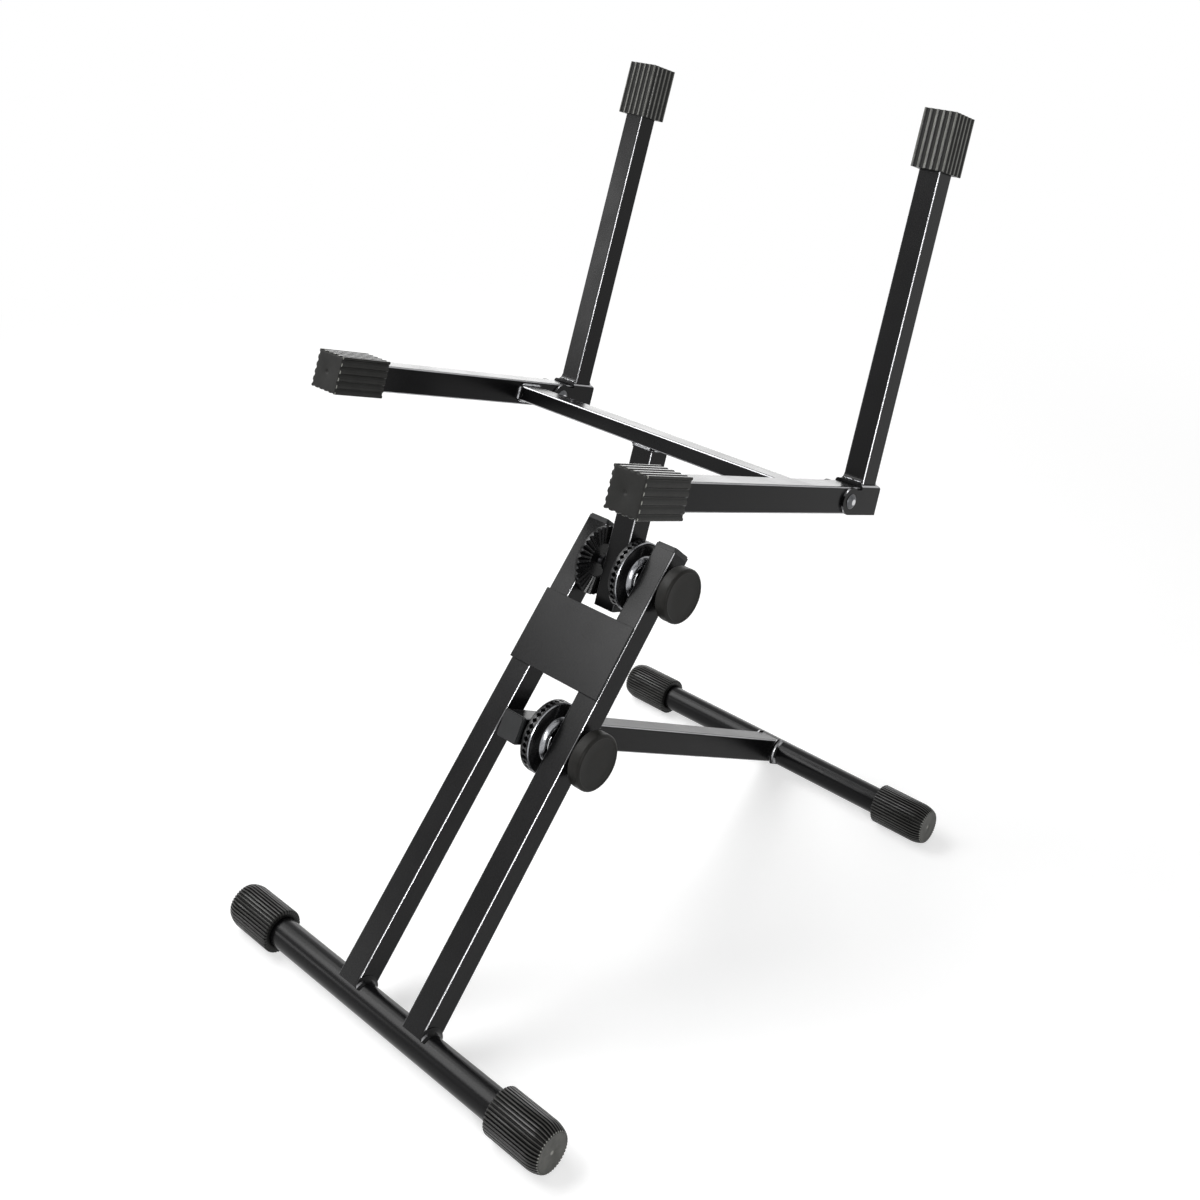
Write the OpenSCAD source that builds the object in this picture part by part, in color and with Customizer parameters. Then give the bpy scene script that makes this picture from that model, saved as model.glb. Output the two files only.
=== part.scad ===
// Folding tilt-back stand for an instrument amplifier.
// Two square legs lean back from a round base tube, a square strut props them on a second base tube,
// and a tilting cradle with two arms and two folding uprights carries the amplifier.
// Z is up, the open front of the cradle faces -Y, and the origin is on the floor under the middle.

/* [Base] */
// Width of each base, over its two rubber caps
base_w = 418; // [360:1:500]
// Distance on the floor between the two base tubes
base_d = 551; // [480:1:620]
// Outside diameter of the round base tubes
round_d = 27; // [24:0.5:32]
// Wall of the round base tubes
round_wall = 1.5; // [1:0.1:2.5]
// Outside diameter of the round rubber caps
foot_cap_d = 40; // [37:0.5:46]
// Length of the round rubber caps
foot_cap_l = 60; // [40:1:80]
// Thickness of the closed end of the round caps
foot_cap_end = 6; // [4:0.5:10]
// Number of flutes along each round cap
flute_n = 40; // [24:1:48]
// Width of a flute
flute_w = 1.3; // [0.8:0.1:1.5]
// Depth of a flute
flute_h = 0.9; // [0.5:0.1:1.2]

/* [Square tubes] */
// Width of the square tube of the legs, strut, neck and arms
tube_w = 25; // [22:0.5:30]
// Wall of the square tubes
tube_wall = 1.5; // [1:0.1:2.5]
// Outer corner radius of the square tubes
tube_r = 2; // [1:0.1:3]
// Width of the square tube of the uprights
upright_w = 23; // [20:0.5:28]

/* [Legs] */
// Lean of the legs, from upright
lean = 42.4; // [35:0.1:48]
// Length of a leg, from the base tube's axis to the top of its plug
leg_l = 467; // [440:1:520]
// Height of the head of a leg plug above its tube
plug_h = 5; // [3:0.5:8]
// Height of the plug's stem inside the tube
plug_stem = 14; // [8:1:25]
// Distance along the leg from the base tube's axis to the strut pivot
low_s = 266; // [240:1:285]
// Distance along the leg from the base tube's axis to the cradle pivot
high_s = 430; // [415:1:438]
// Lower edge of the front plate, along the leg
plate_s = 312; // [306:1:320]
// Height of the front plate, along the leg
plate_l = 72; // [50:1:74]
// Thickness of the front plate
plate_t = 3; // [2:0.5:4]

/* [Strut] */
// Length of the strut ahead of its pivot, over its plug
strut_nose = 37; // [30:1:40]
// Thickness of the head of the strut plug
nose_plug = 4; // [3:0.5:6]

/* [Cradle] */
// Tilt of the cradle back from level
tilt = 18.5; // [0:0.5:25]
// Height of the arms' axis above the cradle pivot
neck_h = 128.5; // [115:0.5:150]
// Length of the neck below the cradle pivot
neck_low = 38; // [34:1:40]
// Distance between the axes of the two arms
arm_span = 368; // [320:1:440]
// Reach of the arms ahead of the neck's axis, over their caps
arm_front = 253; // [200:1:280]
// Reach of the arms behind the neck's axis
arm_back = 93; // [88:1:110]
// Height of the crossbar's section
bar_h = 15; // [12:0.5:20]
// Depth of the crossbar's section
bar_d = 30; // [26:0.5:36]
// Height of the top of the uprights' caps above the arms' axis
upright_l = 365; // [340:1:400]

/* [Upright hinge] */
// Distance of the hinge rivet behind the neck's axis
rivet_y = 48.5; // [44:0.5:52]
// Distance of the upright's front face behind the rivet
upright_set = 20; // [18.5:0.5:22]
// Thickness of the bracket's sheet
sheet = 2.2; // [1.5:0.1:3]
// Gap between the bracket and the arm inside it
sheet_gap = 0.3; // [0.2:0.05:0.5]
// Inner radius of the bracket's folds
sheet_bend = 1; // [0.5:0.1:2]
// Distance of the bracket's web behind the rivet
web_set = 14.5; // [13.5:0.5:16]
// Length of the bracket behind the upright
web_tail = 3.5; // [2:0.5:5]
// Diameter of the rivet's shank
rivet_d = 8; // [6:0.5:10]
// Diameter of the rivet's heads
rivet_head = 14; // [11:0.5:18]
// Height of the rivet's heads
rivet_head_h = 3; // [2:0.5:4]

/* [Square caps] */
// Outside width of the square rubber caps
cap_w = 35; // [31:0.5:36]
// Length of the square rubber caps
cap_l = 56; // [40:1:70]
// Thickness of the closed end of the square caps
cap_end = 6; // [3:0.5:10]
// Corner radius of the square caps
cap_r = 1; // [0.5:0.25:1.5]
// Number of hollow grooves along each side of a square cap
groove_n = 5; // [3:1:6]
// Depth of a groove
groove_h = 1.2; // [0.6:0.1:1.6]
// Width of the ridges between the grooves
ridge_w = 1.5; // [1:0.1:2.5]

/* [Welds] */
// Size of the weld fillets round the feet of the legs and strut
foot_weld = 5; // [2:0.5:6]
// Size of the weld fillets on the cradle
joint_weld = 3.5; // [2:0.5:4.5]

/* [Clutch] */
// Gap between a leg and the tube that turns beside it
clutch_gap = 19; // [18:0.25:24]
// Diameter of the toothed discs
disc_d = 68; // [60:1:72]
// Number of radial teeth on each disc
tooth_n = 36; // [30:1:40]
// Height of the teeth at the rim
tooth_h = 2.6; // [2:0.1:2.8]
// Inner radius of the ring of teeth
tooth_in = 17; // [14:0.5:20]
// Thickness of the rim behind the teeth
disc_rim = 2; // [1.5:0.1:2.5]
// Height of the plate's back cone
back_cone = 2.5; // [1.5:0.1:3]
// Radius at which the plate sits on its tube
back_r = 22; // [18:0.5:26]
// Gap between the crests of two facing discs, held open while the clutch is slack
crest_gap = 0.5; // [0.4:0.1:0.8]
// Outer radius of the dish's polished hub
hub_r = 20.5; // [19:0.5:24]
// Height of the dish's cone behind its rim
dish_cone = 1.6; // [1:0.1:2]
// Height of the dish's hub above its cone
hub_h = 1.8; // [1:0.1:2.2]
// Radius of the spring's pocket in the hub
pocket_r = 16.2; // [15.5:0.1:17]
// Radius of the dish's boss round the bolt
boss_r = 8; // [6.5:0.5:10]
// Wall between the teeth's recess and the spring's pocket
dish_web = 2.2; // [1.5:0.1:2.5]
// Mean radius of the spring
spring_r = 14; // [12.5:0.1:14.2]
// Diameter of the spring's wire
spring_wire = 1.8; // [1.2:0.1:1.8]
// Distance between the spring's curls
spring_pitch = 2.35; // [2.3:0.05:2.6]

/* [Bolts and knobs] */
// Diameter of the clamp bolts
bolt_d = 8; // [6:0.5:9]
// Radial clearance of the bolts and rivets in their holes
run_gap = 0.05; // [0.02:0.01:0.09]
// Diameter of the bolts' domed heads
bolt_head = 18; // [14:1:22]
// Height of the bolts' domed heads
bolt_head_h = 4.5; // [3:0.5:6]
// Width across the flats of the clamp nuts
nut_af = 13; // [12:0.5:16]
// Height of the clamp nuts
nut_h = 7; // [5:0.5:9]
// Diameter of the hand knobs
knob_d = 53; // [44:1:60]
// Thickness of the hand knobs
knob_t = 14; // [10:0.5:18]
// Length of the knob's hub, between the knob and the leg
knob_hub = 9.5; // [7:0.5:14]
// Diameter of the knob's hub
knob_hub_d = 24; // [18:1:30]
// Length of the bolt inside the knob
knob_grip = 17; // [14:0.5:20]

/* [Hidden] */
$fn = 48;
// Gap between a leg's or strut's coped end and the tube that it is welded to
cope_gap = 0.1;
// Gap between two pieces that face each other and turn
face_gap = 0.3;
// Gap between a rubber cap and its tube
cap_gap = 0.1;
// Length over which a round cap is drawn in towards its closed end, and by how much
draw_l = 13;
draw_in = 3.2;
// Depth to which a weld bead is fused into its own tube
fuse = 0.4;
eps = 0.01;

axle_z = foot_cap_d / 2;
front_y = -base_d / 2;
rear_y = base_d / 2;
leg_x = tube_w + clutch_gap;
leg_in = leg_x - tube_w / 2;
leg_out = leg_x + tube_w / 2;
low_y = front_y + low_s * sin(lean);
low_z = axle_z + low_s * cos(lean);
high_y = front_y + high_s * sin(lean);
high_z = axle_z + high_s * cos(lean);
strut_l = sqrt(pow(rear_y - low_y, 2) + pow(low_z - axle_z, 2));
drop = atan2(low_z - axle_z, rear_y - low_y);
arm_x = arm_span / 2;
disc_r = disc_d / 2;
plate_h = back_cone + disc_rim + tooth_h;
bore_r = bolt_d / 2 + run_gap;
recess = tooth_h * tooth_in / disc_r + 0.5;
pocket_z = recess + dish_web;
hub_z = tooth_h + disc_rim + dish_cone;
dish_l = clutch_gap - plate_h - crest_gap;
spring_seat = 0.15;
spring_l = dish_l - pocket_z - 2 * spring_seat;
spring_turns = (spring_l - spring_wire) / spring_pitch;
upright_y = rivet_y + upright_set + upright_w / 2;
web_z = tube_w / 2 + sheet_gap;
web_end = upright_set + upright_w + web_tail;

// ---------- frames ----------

// Along a leg: z runs up the leg from the base tube's axis, -y faces forward
module leg_frame() {
    translate([0, front_y, axle_z])
        rotate([-lean, 0, 0])
            children();
}

// Along the strut: y runs back from its pivot, z is square to it
module strut_frame() {
    translate([0, low_y, low_z])
        rotate([-drop, 0, 0])
            children();
}

// On the cradle: the origin is the cradle pivot, z runs up the neck
module cradle_frame() {
    translate([0, high_y, high_z])
        rotate([-tilt, 0, 0])
            children();
}

// On an upright's hinge, in the cradle; side is -1 for left and 1 for right
module hinge_frame(side) {
    cradle_frame()
        translate([side * arm_x, rivet_y, neck_h])
            children();
}

// Turns a shape made about Z so that it points along +X
module along_x() {
    rotate([0, 90, 0])
        children();
}

// A shape made about Z on a pivot's axis, pointing along +X and starting at x
module on_pivot(s, x) {
    leg_frame()
        translate([x, 0, s])
            along_x()
                children();
}

// ---------- sections ----------

// Rectangle with round corners
module round_rect(w, d, r) {
    square([w - 2 * r, d], center = true);
    square([w, d - 2 * r], center = true);
    for (x = [-1, 1], y = [-1, 1])
        translate([x * (w / 2 - r), y * (d / 2 - r)])
            circle(r);
}

// Section of a drawn tube with an even wall
module tube_section(w, d, wall, r) {
    difference() {
        round_rect(w, d, r);
        round_rect(w - 2 * wall, d - 2 * wall, max(r - wall, 0.4));
    }
}

module square_tube(w, l) {
    linear_extrude(l)
        tube_section(w, w, tube_wall, tube_r);
}

// A rod along X, used for holes
module cross_hole(r, l) {
    along_x()
        translate([0, 0, -l / 2])
            cylinder(r = r, h = l);
}

// ---------- round base tubes and their caps ----------

module base_tube(y) {
    l = base_w - 2 * foot_cap_end;
    translate([-l / 2, y, axle_z])
        along_x()
            difference() {
                cylinder(d = round_d, h = l);
                translate([0, 0, -eps])
                    cylinder(d = round_d - 2 * round_wall, h = l + 2 * eps);
            }
}

// Half outline of a round cap, from its mouth at y = 0 to its closed end, which is drawn in along an arc;
// r is its radius and l its length
module cap_outline(r, l) {
    arc = (pow(draw_l, 2) + pow(draw_in, 2)) / (2 * draw_in);
    translate([0, 1])
        square([r, l - draw_l - 1]);
    polygon([[0, 0], [r - 0.4, 0], [r, 1], [0, 1]]);
    intersection() {
        translate([r - arc, l - draw_l])
            circle(arc, $fn = 128);
        translate([0, l - draw_l - eps])
            square([r, draw_l + eps]);
    }
}

// Fluted rubber cap with its open mouth at z = 0 and its closed end at z = foot_cap_l
module foot_cap() {
    r = foot_cap_d / 2;
    l = foot_cap_l;
    difference() {
        rotate_extrude($fn = 96)
            difference() {
                cap_outline(r, l);
                translate([-1, -1])
                    square([round_d / 2 + cap_gap + 1, l - foot_cap_end + 1]);
                polygon([[-1, l + 1], [-1, l - 1], [1, l - 1], [2.5, l], [2.5, l + 1]]);
            }
        for (i = [0 : flute_n - 1])
            rotate((i + 0.5) * 360 / flute_n)
                translate([0, flute_w / 2, 0])
                    rotate([90, 0, 0])
                        linear_extrude(flute_w)
                            difference() {
                                translate([r - draw_in - flute_h, -1])
                                    square([2 * draw_in, l + 2]);
                                cap_outline(r - flute_h, l + flute_h);
                            }
    }
}

module foot_cap_at(side, y) {
    translate([side * (base_w / 2 - foot_cap_l), y, axle_z])
        rotate([0, side * 90, 0])
            foot_cap();
}

// ---------- legs ----------

// Weld fillets at the foot of a square tube that stands along z on a round tube along x;
// sides lists where they are, 0 for the +x side and 1 for the -x side
module weld_at_foot(sides) {
    r = round_d / 2;
    half = asin(min(0.95, tube_w / 2 / r));
    w = foot_weld;
    intersection() {
        for (m = sides)
            mirror([m, 0, 0])
                translate([tube_w / 2, 0, 0])
                    rotate([0, 90, 0])
                        rotate(180 - half)
                            rotate_extrude(angle = 2 * half, $fn = 96)
                                polygon([
                                    [r - 1, -fuse], [r + w, -fuse], [r + w, 0.1 * w],
                                    [r + 0.5 * w, 0.25 * w], [r + 0.25 * w, 0.5 * w],
                                    [r + 0.1 * w, w], [r - 1, w]
                                ]);
        cube([4 * tube_w, tube_w + 3, 8 * r], center = true);
    }
}

module leg(side) {
    leg_frame()
        difference() {
            translate([side * leg_x, 0, 0]) {
                square_tube(tube_w, leg_l - plug_h);
                weld_at_foot([0]);
            }
            cross_hole(round_d / 2 + cope_gap, 4 * leg_x);
            for (s = [low_s, high_s])
                translate([side * leg_x, 0, s])
                    cross_hole(bore_r, 2 * tube_w);
        }
}

// Plug with a head as wide as its tube and a stem inside it; z = 0 is the tube's end
module tube_plug(h, r) {
    fit = tube_w - 2 * tube_wall - 2 * cap_gap;
    linear_extrude(h * 0.7)
        round_rect(tube_w, tube_w, tube_r);
    translate([0, 0, h * 0.7])
        linear_extrude(h * 0.3)
            round_rect(tube_w - r, tube_w - r, tube_r);
    translate([0, 0, -plug_stem])
        linear_extrude(plug_stem)
            tube_section(fit, fit, 2, 1);
}

module leg_plug(side) {
    leg_frame()
        translate([side * leg_x, 0, leg_l - plug_h])
            tube_plug(plug_h, 1.5);
}

// ---------- clutches ----------

// Cuts for a ring of radial teeth on a face at z = 0, the material being below it
module tooth_cuts() {
    slope = atan(tooth_h / disc_r);
    for (i = [0 : tooth_n - 1])
        rotate(i * 360 / tooth_n)
            rotate([0, slope, 0])
                translate([tooth_in - 2.5, 0, 0])
                    rotate([45, 0, 0])
                        cube([disc_r, 2.2 * tooth_h, 2.2 * tooth_h]);
}

// Toothed plate that is welded to a tube's side; z = 0 is the tube's face
module toothed_plate() {
    difference() {
        rotate_extrude($fn = 96)
            polygon([
                [bore_r, 0],
                [back_r, 0],
                [disc_r - 0.6, back_cone - 0.3],
                [disc_r, back_cone + 0.5],
                [disc_r, plate_h],
                [tooth_in, plate_h],
                [tooth_in - 1, plate_h - recess],
                [bore_r, plate_h - recess]
            ]);
        translate([0, 0, plate_h])
            tooth_cuts();
    }
}

// Dish with teeth on its lower face at z = 0, a cone, a polished hub and the spring's pocket above it
module clutch_dish() {
    difference() {
        rotate_extrude($fn = 96)
            polygon([
                [bore_r, recess],
                [tooth_in - 1, recess],
                [tooth_in, 0],
                [disc_r, 0],
                [disc_r, tooth_h + disc_rim - 0.6],
                [disc_r - 0.8, tooth_h + disc_rim],
                [hub_r, hub_z],
                [hub_r - 0.3, hub_z + hub_h * 0.45],
                [hub_r - 1.2, hub_z + hub_h * 0.85],
                [hub_r - 2.4, hub_z + hub_h],
                [pocket_r, hub_z + hub_h],
                [pocket_r, pocket_z],
                [boss_r, pocket_z],
                [boss_r, dish_l - face_gap],
                [bore_r, dish_l - face_gap]
            ]);
        mirror([0, 0, 1])
            tooth_cuts();
    }
}

// Points along the middle of the spring's wire, eight to a curl
spring_n = floor(8 * spring_turns);
spring_mid = [
    for (i = [0 : spring_n])
        [
            spring_r * cos(45 * i),
            spring_r * sin(45 * i),
            pocket_z + spring_seat + spring_wire / 2 + (spring_l - spring_wire) * i / spring_n
        ]
];
// Least gap between two curls of one spring, measured between points a curl apart
spring_free = min([for (i = [0 : spring_n - 8]) norm(spring_mid[i + 8] - spring_mid[i])]) - spring_wire;
echo(least_gap_between_curls = spring_free);

// Round wire wound as one open helix, with six sides
module coil_spring() {
    w = spring_wire / 2;
    points = [
        for (i = [0 : spring_n], k = [0 : 5])
            spring_mid[i] + [
                w * cos(60 * k) * cos(45 * i),
                w * cos(60 * k) * sin(45 * i),
                w * sin(60 * k)
            ]
    ];
    sides = [
        for (i = [0 : spring_n - 1], k = [0 : 5])
            each [
                [6 * i + k, 6 * (i + 1) + k, 6 * i + (k + 1) % 6],
                [6 * i + (k + 1) % 6, 6 * (i + 1) + k, 6 * (i + 1) + (k + 1) % 6]
            ]
    ];
    start = [for (k = [1 : 4]) [0, k, k + 1]];
    e = 6 * spring_n;
    finish = [for (k = [1 : 4]) [e, e + k + 1, e + k]];
    polyhedron(points = points, faces = concat(sides, start, finish));
}

module clutch_plate_at(s) {
    on_pivot(s, tube_w / 2)
        toothed_plate();
}

module clutch_dish_at(s) {
    on_pivot(s, tube_w / 2 + plate_h + crest_gap)
        clutch_dish();
}

module spring_at(s) {
    on_pivot(s, tube_w / 2 + plate_h + crest_gap)
        coil_spring();
}

// ---------- bolts, nuts and knobs ----------

// Low dome of a given width and height on z = 0
module dome(d, h) {
    r = (d * d / 4 + h * h) / (2 * h);
    rotate_extrude($fn = 64)
        intersection() {
            translate([0, h - r])
                circle(r, $fn = 96);
            square([d / 2, h]);
        }
}

module clamp_bolt(s) {
    on_pivot(s, -leg_out)
        union() {
            mirror([0, 0, 1])
                dome(bolt_head, bolt_head_h);
            cylinder(d = bolt_d, h = 2 * leg_out + knob_grip);
        }
}

module clamp_nut(s) {
    on_pivot(s, -tube_w / 2 - face_gap - nut_h)
        difference() {
            cylinder(d = nut_af / cos(30), h = nut_h, $fn = 6);
            translate([0, 0, -eps])
                cylinder(r = bore_r, h = nut_h + 2 * eps);
        }
}

// Hand knob on the bolt's end; z = 0 is the leg's outer face
module knob(s) {
    r = knob_d / 2;
    top = knob_hub + knob_t;
    on_pivot(s, leg_out)
        difference() {
            rotate_extrude($fn = 96)
                polygon([
                    [0, face_gap],
                    [knob_hub_d / 2, face_gap],
                    [knob_hub_d / 2, knob_hub - 2],
                    [r - 3, knob_hub],
                    [r - 0.6, knob_hub + 1.6],
                    [r, knob_hub + 3],
                    [r, top - 3],
                    [r - 0.5, top - 1.4],
                    [r - 1.8, top - 0.4],
                    [r - 3, top - 0.2],
                    [r - 4, top],
                    [0, top]
                ]);
            cylinder(r = bore_r, h = knob_grip + face_gap);
        }
}

// ---------- strut ----------

module strut_tube() {
    strut_frame()
        difference() {
            union() {
                translate([0, -strut_nose + nose_plug, 0])
                    rotate([-90, 0, 0])
                        square_tube(tube_w, strut_l + strut_nose - nose_plug);
                translate([0, strut_l, 0])
                    rotate([90, 0, 0])
                        weld_at_foot([0, 1]);
            }
            translate([0, strut_l, 0])
                cross_hole(round_d / 2 + cope_gap, 2 * tube_w);
            cross_hole(bore_r, 2 * tube_w);
        }
}

module strut_end_plug() {
    strut_frame()
        translate([0, -strut_nose + nose_plug, 0])
            rotate([90, 0, 0])
                tube_plug(nose_plug, 2);
}

// ---------- cradle ----------

// Hollow weld fillet along x, in the corner between a wall on y = 0 and a floor on z = 0
module corner_weld(w, l) {
    translate([-l / 2, 0, 0])
        rotate([90, 0, 90])
            linear_extrude(l)
                difference() {
                    translate([-fuse, -fuse])
                        square(w + fuse);
                    translate([w, w])
                        circle(w - 0.3);
                }
}

module neck_tube() {
    ledge = (bar_d - tube_w) / 2;
    top = neck_h - bar_h / 2;
    cradle_frame()
        difference() {
            union() {
                translate([0, 0, -neck_low])
                    square_tube(tube_w, neck_low + top);
                intersection() {
                    union() {
                        for (a = [0, 90, 180, 270])
                            translate([0, 0, top])
                                rotate([180, 0, a])
                                    translate([0, tube_w / 2, 0])
                                        corner_weld(joint_weld, tube_w - 1);
                    }
                    translate([0, 0, top - tube_w])
                        cube([4 * tube_w, tube_w + 2 * min(ledge, joint_weld), 2 * tube_w], center = true);
                }
            }
            translate([0, 0, top - cope_gap])
                linear_extrude(tube_w)
                    square(4 * tube_w, center = true);
            cross_hole(bore_r, 2 * tube_w);
        }
}

module cross_bar() {
    l = arm_span - tube_w - 2 * cope_gap;
    w = min(joint_weld, (tube_w - bar_h) / 2);
    cradle_frame()
        translate([0, 0, neck_h])
            difference() {
                union() {
                    translate([-l / 2, 0, 0])
                        along_x()
                            linear_extrude(l)
                                tube_section(bar_h, bar_d, tube_wall, tube_r);
                    for (m = [0, 1], n = [0, 1])
                        mirror([m, 0, 0])
                            translate([l / 2, 0, 0]) {
                                mirror([0, 0, n])
                                    translate([0, 0, bar_h / 2])
                                        rotate([0, 0, 90])
                                            corner_weld(w, bar_d - 2 * tube_r);
                                mirror([0, n, 0])
                                    translate([0, bar_d / 2, 0])
                                        rotate([0, -90, 90])
                                            rotate([0, 0, 90])
                                                corner_weld(w, bar_h - 2 * tube_r);
                            }
                }
                for (m = [0, 1])
                    mirror([m, 0, 0])
                        translate([l / 2, -tube_w, -tube_w])
                            cube([tube_w, 2 * tube_w, 2 * tube_w]);
            }
}

module arm(side) {
    cradle_frame()
        translate([side * arm_x, 0, neck_h])
            difference() {
                translate([0, cap_end - arm_front, 0])
                    rotate([-90, 0, 0])
                        square_tube(tube_w, arm_front - cap_end + arm_back);
                translate([0, rivet_y, 0])
                    cross_hole(rivet_d / 2 + run_gap, 2 * tube_w);
            }
}

// Section of a square cap, with hollow grooves along its four sides
module grooved_square() {
    pitch = (cap_w - ridge_w) / groove_n;
    chord = pitch - ridge_w;
    r = (chord * chord / 4 + groove_h * groove_h) / (2 * groove_h);
    difference() {
        round_rect(cap_w, cap_w, cap_r);
        for (a = [0 : 90 : 270], i = [0 : groove_n - 1])
            rotate(a)
                translate([(i + 0.5 - groove_n / 2) * pitch, cap_w / 2 - groove_h + r])
                    circle(r);
    }
}

// Square cap with its open mouth at z = 0, for a tube of width w
module square_cap(w) {
    bore = w + 2 * cap_gap;
    difference() {
        linear_extrude(cap_l)
            grooved_square();
        translate([0, 0, -eps])
            linear_extrude(cap_l - cap_end + eps)
                round_rect(bore, bore, tube_r);
        translate([0, 0, cap_l - 1])
            rotate_extrude()
                polygon([[0, 0], [1.2, 0.2], [2.2, 1.2], [0, 1.2]]);
    }
}

module arm_cap(side) {
    cradle_frame()
        translate([side * arm_x, cap_l - arm_front, neck_h])
            rotate([90, 0, 0])
                square_cap(tube_w);
}

// Rivet through the arm and both ears of the bracket
module hinge_rivet(side) {
    half = tube_w / 2 + sheet_gap + sheet + face_gap;
    hinge_frame(side)
        along_x() {
            translate([0, 0, -half])
                cylinder(d = rivet_d, h = 2 * half);
            for (m = [0, 1])
                mirror([0, 0, m])
                    translate([0, 0, half])
                        dome(rivet_head, rivet_head_h);
        }
}

// ---------- uprights ----------

// Side outline of the bracket: round nose about the rivet, web and straight back; y back, z up
module bracket_outline() {
    low = tube_w / 2;
    top = web_z + sheet;
    bend = 4;
    circle(low, $fn = 64);
    translate([0, -low])
        square([web_end, 2 * low - 2]);
    translate([web_set, -low])
        square([web_end - web_set - bend, low + top]);
    translate([web_set, -low])
        square([web_end - web_set, low + top - bend]);
    translate([web_end - bend, top - bend])
        circle(bend);
}

// Folded channel that straddles the arm's end and turns on the rivet
module bracket(side) {
    inner = tube_w + 2 * sheet_gap;
    outer = inner + 2 * sheet;
    top = web_z + sheet;
    low = tube_w / 2;
    hinge_frame(side)
        difference() {
            intersection() {
                translate([0, -low - 1, 0])
                    rotate([-90, 0, 0])
                        linear_extrude(low + web_end + 1)
                            difference() {
                                translate([0, (3 * low - top) / 2])
                                    round_rect(outer, top + 3 * low, 3);
                                translate([0, (5 * low - web_z) / 2])
                                    round_rect(inner, web_z + 5 * low, sheet_bend);
                            }
                rotate([90, 0, 90])
                    translate([0, 0, -outer])
                        linear_extrude(2 * outer)
                            bracket_outline();
            }
            cross_hole(rivet_d / 2 + run_gap, 2 * outer);
        }
}

// Weld fillet from the foot of an upright out over the bracket's web, with its wall on y = 0
module weld_on_web(w) {
    intersection() {
        corner_weld(w, upright_w - 2);
        translate([-upright_w, -fuse, 0])
            cube([2 * upright_w, 2 * w, 2 * w]);
    }
}

module upright_tube(side) {
    base = web_z + sheet;
    weld = upright_set - web_set;
    hinge_frame(side)
        translate([0, upright_set + upright_w / 2, 0]) {
            translate([0, 0, base])
                square_tube(upright_w, upright_l - cap_end - base);
            translate([0, -upright_w / 2, base])
                mirror([0, 1, 0])
                    weld_on_web(weld - 0.5);
            translate([0, upright_w / 2, base])
                weld_on_web(web_tail - 1);
        }
}

module upright_cap(side) {
    hinge_frame(side)
        translate([0, upright_set + upright_w / 2, upright_l - cap_l])
            square_cap(upright_w);
}

// ---------- named pieces ----------

module front_base_tube() { color("#26272a") base_tube(front_y); }
module front_cap_left() { color("#3b3b3a") foot_cap_at(-1, front_y); }
module front_cap_right() { color("#3b3b3a") foot_cap_at(1, front_y); }
module leg_left() { color("#26272a") leg(-1); }
module leg_right() { color("#26272a") leg(1); }
module leg_plug_left() { color("#3f4041") leg_plug(-1); }
module leg_plug_right() { color("#3f4041") leg_plug(1); }
module front_plate() {
    color("#2c2d30")
        leg_frame()
            translate([-leg_out, -tube_w / 2 - plate_t, plate_s])
                cube([2 * leg_out, plate_t, plate_l]);
}
module toothed_disc_left() { color("#1d1e20") on_pivot(high_s, -leg_in) toothed_plate(); }
module clutch_dish_upper() { color("#1d1e20") clutch_dish_at(high_s); }
module clutch_dish_lower() { color("#1d1e20") clutch_dish_at(low_s); }
module spring_upper() { color("#b9bcbe") spring_at(high_s); }
module spring_lower() { color("#b9bcbe") spring_at(low_s); }
module clamp_bolt_upper() { color("#8b8d8f") clamp_bolt(high_s); }
module clamp_bolt_lower() { color("#8b8d8f") clamp_bolt(low_s); }
module clamp_nut_upper() { color("#8b8d8f") clamp_nut(high_s); }
module clamp_nut_lower() { color("#8b8d8f") clamp_nut(low_s); }
module strut() { color("#26272a") strut_tube(); }
module strut_plug() { color("#3f4041") strut_end_plug(); }
module strut_clutch_plate() { color("#1d1e20") clutch_plate_at(low_s); }
module rear_base_tube() { color("#26272a") base_tube(rear_y); }
module rear_cap_left() { color("#3b3b3a") foot_cap_at(-1, rear_y); }
module rear_cap_right() { color("#3b3b3a") foot_cap_at(1, rear_y); }
module neck() { color("#26272a") neck_tube(); }
module neck_clutch_plate() { color("#1d1e20") clutch_plate_at(high_s); }
module crossbar() { color("#26272a") cross_bar(); }
module arm_left() { color("#26272a") arm(-1); }
module arm_right() { color("#26272a") arm(1); }
module arm_cap_left() { color("#3b3b3a") arm_cap(-1); }
module arm_cap_right() { color("#3b3b3a") arm_cap(1); }
module hinge_rivet_left() { color("#5a5b5d") hinge_rivet(-1); }
module hinge_rivet_right() { color("#5a5b5d") hinge_rivet(1); }
module bracket_left() { color("#26272a") bracket(-1); }
module bracket_right() { color("#26272a") bracket(1); }
module upright_left() { color("#26272a") upright_tube(-1); }
module upright_right() { color("#26272a") upright_tube(1); }
module upright_cap_left() { color("#3b3b3a") upright_cap(-1); }
module upright_cap_right() { color("#3b3b3a") upright_cap(1); }
module knob_upper() { color("#2f2f2e") knob(high_s); }
module knob_lower() { color("#2f2f2e") knob(low_s); }

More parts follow.
